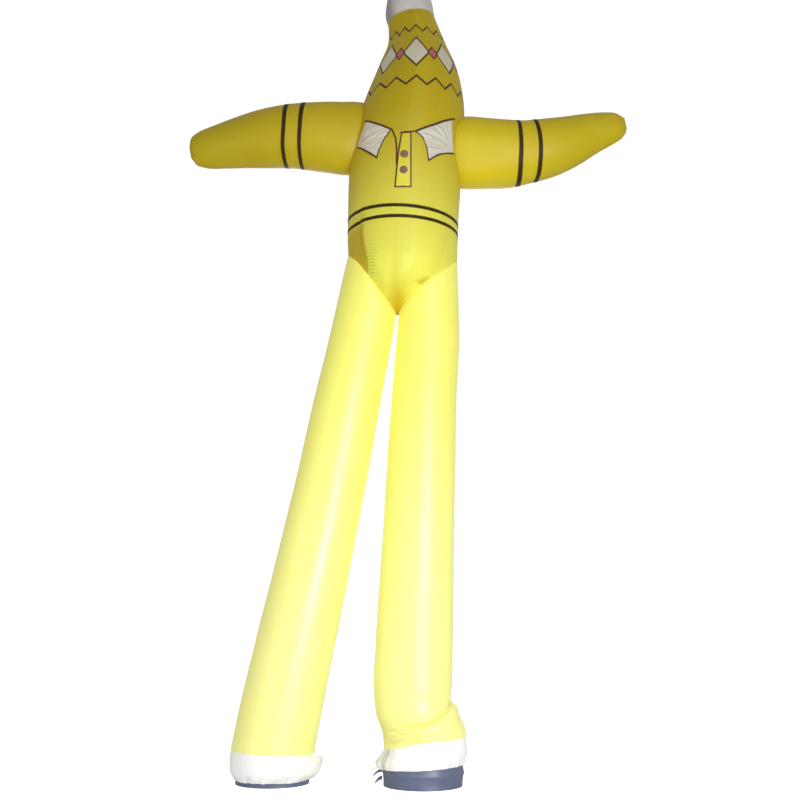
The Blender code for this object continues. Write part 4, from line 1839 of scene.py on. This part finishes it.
def tube_rings(sections: Sequence[TubeSection], side: Side, turn: Array, level: Array) -> Array:
    """Rings of points round a leg, cuff or band.

    Args:
        sections: Its sections, from the top.
        side: Which leg.
        turn: Degrees round the leg, for each column.
        level: Height of each ring's middle.

    Returns:
        The points, in rows from the top.
    """
    heights, values = rising(sections)
    read = smooth_curve(heights, values, np.asarray(level, float))[:, None, :]
    centre_x, centre_y, radius, slope, left, right = np.moveaxis(read, -1, 0)
    across = -side.value * np.cos(np.radians(turn))[None]
    stand_out = np.where(across > 0, right, -left)
    x = radius * across + stand_out * across**2
    y = -radius * np.sin(np.radians(turn))[None]
    height = np.asarray(level, float)[:, None] + slope * x
    return np.stack([centre_x + x, centre_y + y, height], axis=-1)


@dataclass
class Leg:
    """One leg of cloth, its white cuff and the band that holds it to its blower."""

    side: Side
    leg: tuple[TubeSection, ...]
    cuff: tuple[TubeSection, ...]
    band: tuple[TubeSection, ...]
    bunched: tuple[Pair, Pair]  # degrees over which the cuff's gathers start, and stop
    columns: int = 128
    seam_rows: int = 70
    rows: int = 190
    cuff_columns: int = 168
    cuff_rows: int = 44
    band_columns: int = 144
    band_lip: float = 0.010
    seam_radius: float = 0.21  # metres round the leg for each radian
    seam: Seam = Seam(0.0022, 0.010, 0.0008, 0.022, 0.035)
    swell: float = 0.016  # below the seam with the body
    hem_slack: Slack = Slack(0.0014, 9, 0.05, 77)
    cuff_slack: Slack = Slack(0.0022, 15, 0.05, 87)
    gathers: Slack = Slack(0.0060, 4.5, 0.08, 207)
    band_slack: Slack = Slack(0.0016, 12, 0.03, 101)
    crease_drift: Slack = Slack(0.006, 30, 1.0, 97)

    def __post_init__(self) -> None:
        """Gives each leg its own uneven cloth."""
        self.slack = Slack(0.0022, 36, 0.5, 90 + self.side.value)
        self.pleats = Slack(0.0050, 7.5, 0.12, 83 + self.side.value)

    @property
    def name(self) -> str:
        """The side's name in the names of pieces."""
        return self.side.name.lower()

    def turns(self, count: int) -> Array:
        """Degrees round the leg for each column, which run to the right across the front."""
        turn = np.arange(count) * FULL_TURN / count
        return turn if self.side is Side.RIGHT else -turn % FULL_TURN

    def from_front(self, turn: Array) -> Array:
        """Degrees to the right of the front, from -180 to 180."""
        return wrapped((turn - 90) * self.side.value)

    def hem_lift(self, front: Array) -> Array:
        """How much higher than its ring the hem between the leg and the cuff lies.

        Args:
            front: Degrees to the right of the front.

        Returns:
            The lift.
        """
        if self.side is Side.LEFT:
            return np.zeros(front.shape)
        return 0.014 * ramp(np.abs(front), 130, 70) + 0.016 * bell(front, 34)

    def leg_relief(self, turn: Array, height: Array, below: Array) -> Array:
        """How far the leg's cloth stands off a smooth tube.

        Args:
            turn: Degrees round the leg.
            height: Height of each point.
            below: How far each point is below the seam with the body.

        Returns:
            The relief.
        """
        found = self.slack.relief(turn, height)
        swell = np.sin(np.radians(turn)) ** 2 * (1 - np.exp(-below / 0.020)) * np.exp(-below / 0.22)
        found = found + self.swell * swell
        for seam in (0, 180):
            off = np.radians(wrapped(turn - seam)) * self.seam_radius
            found = found + self.seam.relief(off, height, 60 + seam)
        hem = height - self.leg[-1].height
        found = found + bell(hem, 0.05) * self.hem_slack.relief(turn, hem)
        if self.side is Side.RIGHT:
            found = found + self.ankle_folds(self.from_front(turn), height)[0]
        return found

    def ankle_folds(self, front: Array, height: Array) -> tuple[Array, Array]:
        """The slanting fold where the leg bends over its cuff, and the wrinkles beside it.

        Args:
            front: Degrees to the right of the front.
            height: Height of each point.

        Returns:
            The relief, and the painted shade in the fold, in the wrinkles and on the ankle's inner
            side.
        """
        places, heights = np.array(ANKLE_FOLD).T
        off = height - smooth_curve(places, heights, front)
        strength = ramp(front, -45, 0) * ramp(front, 165, 110)
        ridges = 0.012 * bell(off - 0.016, 0.014) + 0.012 * bell(off + 0.040, 0.028)
        fold = strength * (ridges - 0.022 * bell(off + 0.004, 0.006))
        wrinkles = ramp(front, -80, -50) * ramp(front, 32, -20) * self.ankle_lines(front, height)
        # painted shade on the ankle's inner side, in the fold and in the wrinkles
        inner = ramp(front, -45, -80) * ramp(front, -175, -130) * bell(height - 0.30, 0.11)
        deep = np.maximum(0.45 * strength * bell(off + 0.003, 0.007), 0.32 * wrinkles)
        return fold - 0.006 * wrinkles, np.maximum(deep, 0.35 * inner)

    def ankle_lines(self, front: Array, height: Array) -> Array:
        """Where the small wrinkles low on the ankle are: 1 on a wrinkle, 0 off it.

        Args:
            front: Degrees to the right of the front.
            height: Height of each point.

        Returns:
            The mask.
        """
        found = np.zeros(np.broadcast(front, height).shape)
        for middle, slant in ANKLE_WRINKLES:
            found = np.maximum(found, bell(height - middle - slant * (front + 35), 0.006))
        return found

    def make_leg(self) -> None:
        """Makes the leg's cloth."""
        turn = self.turns(self.columns)
        heights = np.array([section.height for section in self.leg])
        tube = tube_rings(self.leg, self.side, turn, heights)
        rings = np.concatenate([leg_seam(self.side, turn)[None], tube])
        keys = distances(np.linalg.norm(np.diff(rings, axis=0), axis=2).mean(axis=1))
        near = keys[1] * np.linspace(0, 1, self.seam_rows) ** 1.5
        at = np.concatenate([near, np.linspace(keys[1], keys[-1], self.rows)[1:]])
        points = smooth_curve(keys, rings, at)
        lift = self.hem_lift(self.from_front(turn))
        points[..., 2] += lift * ramp(at, keys[-1] - 0.16, keys[-1])[:, None]
        grid = ClothGrid(points, closed=True)
        below = run_down(points)
        turns = np.broadcast_to(turn, grid.seam.shape)
        grid.raise_by(self.leg_relief(turns, points[..., 2], below) * ramp(below, 0.0, 0.012))
        side_seams = bell(off_seams(turns, self.seam_radius), 0.004)
        grid.seam = np.maximum(bell(below, 0.004), side_seams)
        # painted shade in the right ankle's folds
        if self.side is Side.RIGHT:
            grid.deep = self.ankle_folds(self.from_front(turns), points[..., 2])[1]
        piece = grid.build(f"cloth_leg_{self.name}", CLOTH, LEG_CLOTH)
        add_piece(piece, [f"leg_{self.name}"], flat=(1.36, 2.85))

    def make_cuff(self) -> None:
        """Makes the white end of the leg, pleated where it is drawn in at the bottom."""
        turn = self.turns(self.cuff_columns)
        front = self.from_front(turn)
        top, bottom = self.cuff[0].height, self.cuff[-1].height
        level = np.linspace(top, bottom, self.cuff_rows)
        points = tube_rings(self.cuff, self.side, turn, level)
        points[..., 2] += self.hem_lift(front) * ramp(level, bottom + 0.02, top)[:, None]
        grid = ClothGrid(points, closed=True)
        turns, levels = np.broadcast_arrays(turn[None], level[:, None])
        pleats = self.pleats.waves(turns, levels)
        gathers = self.gathers.waves(turns, levels + self.gathers.length * turns / 40)
        start, stop = self.bunched
        creases = bell(gathers, 0.22) * ramp(front, *start) * ramp(front, *stop)
        creases = creases + 0.45 * bell(pleats, 0.10) * ramp(levels, bottom + 0.06, bottom + 0.01)
        relief = self.pleats.height * ramp(levels, top, bottom) * pleats
        relief = relief + self.cuff_slack.relief(turns, levels) - self.gathers.height * creases
        grid.raise_by(relief * ramp(levels, top, top - 0.012))
        # painted shade in the creases and gathers
        grid.deep = creases * ramp(levels, top, top - 0.010)
        grid.seam = bell(levels - bottom - 0.012, 0.003) * 0.4
        piece = grid.build(f"cloth_cuff_{self.name}", CLOTH, WHITE_CLOTH)
        add_piece(piece, [f"cuff_{self.name}"], flat=(1.45, top - bottom))

    def make_band(self) -> None:
        """Makes the dark band, with its turned top edge and a crease along its middle."""
        turn = self.turns(self.band_columns)
        top = self.band[0].height
        lip = np.linspace(self.band_lip, 0.0, 5)[1:]
        level = np.concatenate([np.linspace(top, self.band_lip, 40), lip])
        grid = ClothGrid(tube_rings(self.band, self.side, turn, level), closed=True)
        turns, levels = np.broadcast_arrays(turn[None], level[:, None])
        crease = levels - top * 0.55 - self.crease_drift.relief(turns, 0 * levels)
        relief = 0.0035 * bell(crease, 0.010) - 0.0020 * bell(levels - top + 0.026, 0.004)
        relief = relief + self.band_slack.relief(turns, levels)
        grid.raise_by(relief * ramp(levels, 0.004, 0.020))
        piece = grid.build(f"cloth_band_{self.name}", BAND_CLOTH, SLATE_CLOTH)
        add_piece(piece, [f"band_{self.name}"], flat=(1.36, top))

    def make(self) -> None:
        """Makes the leg's pieces."""
        self.make_leg()
        self.make_cuff()
        self.make_band()


# ---------------- arms


TURNS_DOWN_FRONT = (0, 45, 90, 135, 180)  # degrees from the top of an arm


@dataclass(frozen=True)
class ArmStripe:
    """A stripe round an arm, which leans and bends as the cloth does."""

    name: str
    down_front: tuple[float, ...]  # from the middle of the body, at TURNS_DOWN_FRONT

    def places(self, turn: Array, side: Side) -> Array:
        """The stripe's distance from the middle of the body.

        Args:
            turn: Degrees round the arm from its top.
            side: Which arm.

        Returns:
            The distance at each turn.
        """
        from_top = np.abs(wrapped(turn))
        front = smooth_curve(TURNS_DOWN_FRONT, self.down_front, from_top)
        behind = np.interp(from_top, (0, 180), (self.down_front[0], self.down_front[-1]))
        return np.where(side.value * np.sin(np.radians(turn)) > 0, behind, front)


LEFT_STRIPES = (
    ArmStripe("inner", (0.675, 0.677, 0.686, 0.697, 0.692)),
    ArmStripe("outer", (0.770, 0.777, 0.789, 0.809, 0.806)),
)
RIGHT_STRIPES = (
    ArmStripe("inner", (0.724, 0.718, 0.703, 0.688, 0.683)),
    ArmStripe("outer", (0.846, 0.839, 0.825, 0.801, 0.782)),
)


@dataclass
class Arm:
    """One arm of cloth and its two stripes."""

    side: Side
    sections: tuple[ArmSection, ...]
    fingertip: Point
    stripes: tuple[ArmStripe, ...]
    finish: Cloth
    body: Body
    columns: int = 112
    rows: int = 130
    seam_radius: float = 0.2  # metres round the arm for each radian
    seam: Seam = Seam(0.0020, 0.009, 0.0006)
    fine_slack: Slack = Slack(0.0006, 60, 0.022, 130)
    tip_slack: Slack = Slack(0.0030, 20, 0.05, 150)
    shoulder_gathers: Slack = Slack(0.0010, 5, 0.10, 160)
    shoulder_rise: float = 0.003
    shoulder_steps: int = 400

    @property
    def name(self) -> str:
        """The side's name in the names of pieces."""
        return self.side.name.lower()

    def __post_init__(self) -> None:
        """Works out the arm's rings and their distances along it."""
        self.slack = Slack(0.0022, 40, 0.25, 120 + self.side.value)
        self.turn = np.arange(self.columns) * FULL_TURN / self.columns
        last = len(self.sections) - 1
        rings = [
            self.ring(section, self.sections[max(i - 1, 0)], self.sections[min(i + 1, last)])
            for i, section in enumerate(self.sections)
        ]
        self.rings = np.array(rings)
        self.keys = distances(np.linalg.norm(np.diff(rings, axis=0), axis=2).mean(axis=1))

    def ring(self, section: ArmSection, before: ArmSection, after: ArmSection) -> Array:
        """Points round the arm.

        Args:
            section: The ring's section.
            before: The section before it.
            after: The section after it, which with that one gives the arm's run.

        Returns:
            The points.
        """
        turn = np.radians(self.turn)[:, None]
        run = np.array((after.centre_x - before.centre_x, 0, after.height - before.height))
        run = run / np.linalg.norm(run)
        up = np.array((-run[2], 0, run[0])) * section.radius * self.side.value
        depth = np.array((0, section.radius * section.depth * self.side.value, 0))
        middle = np.array((section.centre_x, 0, section.height))
        return middle + up * np.cos(turn) + depth * np.sin(turn)

    def relief(self, turn: Array, place: Array) -> Array:
        """How far the cloth stands off a smooth tube.

        Args:
            turn: Degrees round the arm.
            place: Distance from the middle of the body along X.

        Returns:
            The relief.
        """
        found = self.slack.relief(turn, place)
        by_stripes = ramp(place, 0.5, 0.6) * ramp(place, 0.80, 0.72)
        found = found + by_stripes * self.fine_slack.relief(turn, place)
        for seam in (0, 180):
            off = np.radians(wrapped(turn - seam)) * self.seam_radius
            found = found + self.seam.relief(off, place, 140)
        return found + ramp(place, 1.28, 1.40) * self.tip_slack.relief(turn, place)

    def shoulder(self) -> Array:
        """How far along the arm each column comes out of the body.

        Returns:
            The distances.
        """
        found = []
        at = np.linspace(0, self.keys[4], self.shoulder_steps)
        for column in range(self.columns):
            line = smooth_curve(self.keys, self.rings[:, column], at)
            centre, radius, _ = self.body.read(line[:, 2])
            inside = (line[:, 0] - centre) ** 2 + line[:, 1] ** 2 < (radius - 0.006) ** 2
            found.append(at[np.nonzero(inside)[0].max()] if inside.any() else 0.0)
        return np.array(found)

    def points(self, at: Array) -> Array:
        """Points on the arm.

        Args:
            at: How far along the arm each one is, in rows of one for each column.

        Returns:
            The points, in rows.
        """
        lines = range(self.columns)
        rows = [smooth_curve(self.keys, self.rings[:, line], at[:, line]) for line in lines]
        return np.stack(rows, axis=1)

    def make_sleeve(self) -> None:
        """Makes the arm's cloth."""
        start = self.shoulder()
        share = np.linspace(0, 1, self.rows)[:, None] ** 1.35
        points = self.points(start + (self.keys[-1] - start) * share)
        grid = ClothGrid(points, closed=True, foot=self.fingertip)
        out = run_down(points)
        turns = np.broadcast_to(self.turn, grid.seam.shape)
        joint = self.shoulder_rise * (bell(out - 0.07, 0.05) - np.exp(-out / 0.010))
        gathers = self.shoulder_gathers.relief(turns, out) * np.exp(-out / 0.04)
        grid.raise_by(self.relief(turns, np.abs(points[..., 0])) + joint + gathers)
        grid.seam = bell(off_seams(turns, self.seam_radius), 0.004)
        piece = grid.build(f"cloth_arm_{self.name}", CLOTH, self.finish)
        add_piece(piece, [f"arm_{self.name}"], flat=(1.30, 1.10))

    def make_stripe(self, stripe: ArmStripe) -> None:
        """Makes one stripe.

        Args:
            stripe: The stripe.
        """
        places = [abs(section.centre_x) for section in self.sections]
        edges = np.linspace(-STRIPE_WIDTH / 2, STRIPE_WIDTH / 2, STRIPE_ROWS)[:, None]
        at = np.interp(stripe.places(self.turn, self.side) + edges, places, self.keys)
        grid = ClothGrid(self.points(at), closed=True)
        turns = np.broadcast_to(self.turn, grid.seam.shape)
        grid.raise_by(self.relief(turns, np.abs(grid.points[..., 0])) + ON_TOP)
        piece = grid.build(f"cloth_{self.name}_stripe_{stripe.name}", TRIM_CLOTH, STRIPE_CLOTH)
        node = f"arm_{self.name}_stripe_{stripe.name}"
        add_piece(piece, [node], flat=(1.28, STRIPE_WIDTH))

    def make(self) -> None:
        """Makes the arm's pieces."""
        self.make_sleeve()
        for stripe in self.stripes:
            self.make_stripe(stripe)


# ---------------- straps


@dataclass
class StrapTail:
    """A free end of the strap on the right band."""

    name: str
    height: float
    centre_y: float
    reach: float
    drop: float
    lean: float
    root_x: float = -0.1575
    width: float = 0.026
    tip_share: float = 0.45
    curl: float = 0.003
    hem: float = 0.005
    rows: int = 24
    columns: int = 9

    def make(self) -> None:
        """Makes the strap's end."""
        lean = math.radians(self.lean)
        across = np.array((0, math.sin(lean), math.cos(lean))) * self.width / 2
        rows = []
        for share in np.linspace(0, 1, self.rows):
            x = self.root_x - self.reach * share
            y = self.centre_y + self.curl * math.sin(5 * share)
            middle = np.array((x, y, self.height - self.drop * share**2))
            half = across * (1 - (1 - self.tip_share) * share**2)
            rows.append([middle + half * part for part in np.linspace(-1, 1, self.columns)])
        grid = ClothGrid(np.array(rows), closed=False)
        piece = grid.build(f"cloth_strap_{self.name}", CLOTH, SLATE_CLOTH)
        add_piece(piece, [f"strap_tail_{self.name}"], flat=(self.width, self.reach + self.hem))


# ---------------- studio

WHITE = (1.0, 1.0, 1.0, 1.0)


@dataclass
class Softbox:
    """A soft area light that looks at a point."""

    name: str
    place: Point
    aim: Point
    size: Pair
    power: float
    gloss_only: bool = False  # makes a highlight and lights nothing else

    def make(self) -> None:
        """Makes the light."""
        light = bpy.data.lights.new(self.name, "AREA")
        light.shape = "RECTANGLE"
        light.size, light.size_y = self.size
        light.energy = self.power
        lamp = bpy.data.objects.new(self.name, light)
        bpy.context.scene.collection.objects.link(lamp)
        lamp.visible_camera = False
        lamp.visible_diffuse = not self.gloss_only
        look_from(lamp, self.place, self.aim)


def look_from(thing: bpy.types.Object, place: Sequence[float], aim: Sequence[float]) -> None:
    """Puts a lamp or camera at a place, looking at another."""
    thing.location = place
    thing.rotation_euler = (Vector(aim) - Vector(place)).to_track_quat("-Z", "Y").to_euler()


@dataclass
class Studio:
    """The floor, the white surroundings, the lights and the camera."""

    camera_place: Point = (-0.057, -6.23, 0.941)
    pitch: float = 11.8  # degrees above level
    lens: float = 46.62
    sensor: float = 36.0
    floor_size: float = 80.0
    floor_gap: float = 0.001  # between the floor and the bands
    floor_colour: Colour = (0.80, 0.80, 0.80, 1.0)
    ambient: Colour = (0.48, 0.47, 0.45, 1.0)
    backdrop: float = 1.05  # how bright the surroundings look
    lights: tuple[Softbox, ...] = (
        Softbox("key", (1.6, -4.2, 1.1), (0.0, 0.0, 1.4), (1.8, 2.6), 124.0),
        Softbox("fill", (-3.0, -3.6, 1.3), (0.0, 0.0, 1.6), (1.8, 2.6), 31.0),
        Softbox(
            "low strip", (1.95, -4.7, 1.15), (0.0, 0.0, 1.15), (0.42, 2.9), 200.0, gloss_only=True
        ),
        Softbox(
            "high strip", (0.9, -5.0, 5.0), (0.0, 0.0, 3.2), (0.5, 2.6), 78.0, gloss_only=True
        ),
        Softbox("back", (0.0, 5.2, 2.6), (0.0, 0.0, 2.4), (3.0, 3.6), 60.0),
    )

    def make_world(self) -> None:
        """Makes the surroundings white to the eye and dimmer as light."""
        world = bpy.data.worlds.new("studio")
        bpy.context.scene.world = world
        world.use_nodes = True
        tree = world.node_tree
        glow = tree.nodes["Background"]
        glow.inputs[0].default_value = self.ambient
        seen = tree.nodes.new("ShaderNodeBackground")
        seen.inputs[0].default_value = WHITE
        seen.inputs[1].default_value = self.backdrop
        path = tree.nodes.new("ShaderNodeLightPath")
        mix = tree.nodes.new("ShaderNodeMixShader")
        tree.links.new(path.outputs["Is Camera Ray"], mix.inputs[0])
        tree.links.new(glow.outputs[0], mix.inputs[1])
        tree.links.new(seen.outputs[0], mix.inputs[2])
        tree.links.new(mix.outputs[0], tree.nodes["World Output"].inputs[0])

    def make_floor(self) -> None:
        """Makes a plain pale floor, which looks white to the camera."""
        bpy.ops.object.select_all(action="DESELECT")
        place = (0, 0, -self.floor_gap)
        bpy.ops.mesh.primitive_plane_add(size=self.floor_size, location=place)
        floor = bpy.context.object
        floor.name = "floor"
        material = bpy.data.materials.new("pale floor")
        material.use_nodes = True
        tree = material.node_tree
        shader = tree.nodes["Principled BSDF"]
        shader.inputs["Base Color"].default_value = self.floor_colour
        shader.inputs["Roughness"].default_value = 0.9
        path = tree.nodes.new("ShaderNodeLightPath")
        shader.inputs["Emission Color"].default_value = WHITE
        tree.links.new(path.outputs["Is Camera Ray"], shader.inputs["Emission Strength"])
        floor.data.materials.append(material)

    def make_camera(self) -> None:
        """Makes the camera at the height of a standing viewer's chest, looking up."""
        camera = bpy.data.cameras.new("camera")
        camera.lens = self.lens
        camera.sensor_width = self.sensor
        eye = bpy.data.objects.new("camera", camera)
        bpy.context.scene.collection.objects.link(eye)
        eye.location = self.camera_place
        eye.rotation_euler = (math.radians(90 + self.pitch), 0, 0)
        bpy.context.scene.camera = eye

    def make(self) -> None:
        """Makes the whole studio."""
        self.make_world()
        self.make_floor()
        for light in self.lights:
            light.make()
        self.make_camera()
        bpy.context.scene.view_settings.view_transform = "Standard"


def main() -> None:
    """Builds every piece, then the studio."""
    logging.basicConfig(level=logging.INFO, format="%(name)s: %(message)s")
    Studio().make()
    body = Body()
    body.make_panels()
    body.make_cap()
    body.make_waist_stripes()
    body.make_collar()
    body.make_placket()
    body.make_buttons()
    Arm(Side.LEFT, LEFT_ARM, LEFT_FINGERTIP, LEFT_STRIPES, LEFT_SLEEVE_CLOTH, body).make()
    Arm(Side.RIGHT, RIGHT_ARM, RIGHT_FINGERTIP, RIGHT_STRIPES, RIGHT_SLEEVE_CLOTH, body).make()
    Leg(Side.LEFT, LEFT_LEG, LEFT_CUFF, LEFT_BAND, bunched=((70, 84), (125, 105))).make()
    Leg(Side.RIGHT, RIGHT_LEG, RIGHT_CUFF, RIGHT_BAND, bunched=((-40, -56), (-125, -100))).make()
    StrapTail("upper", 0.082, -0.020, 0.052, 0.028, 60.0).make()
    StrapTail("lower", 0.045, -0.035, 0.040, 0.026, 40.0).make()


if __name__ == "__main__":
    main()
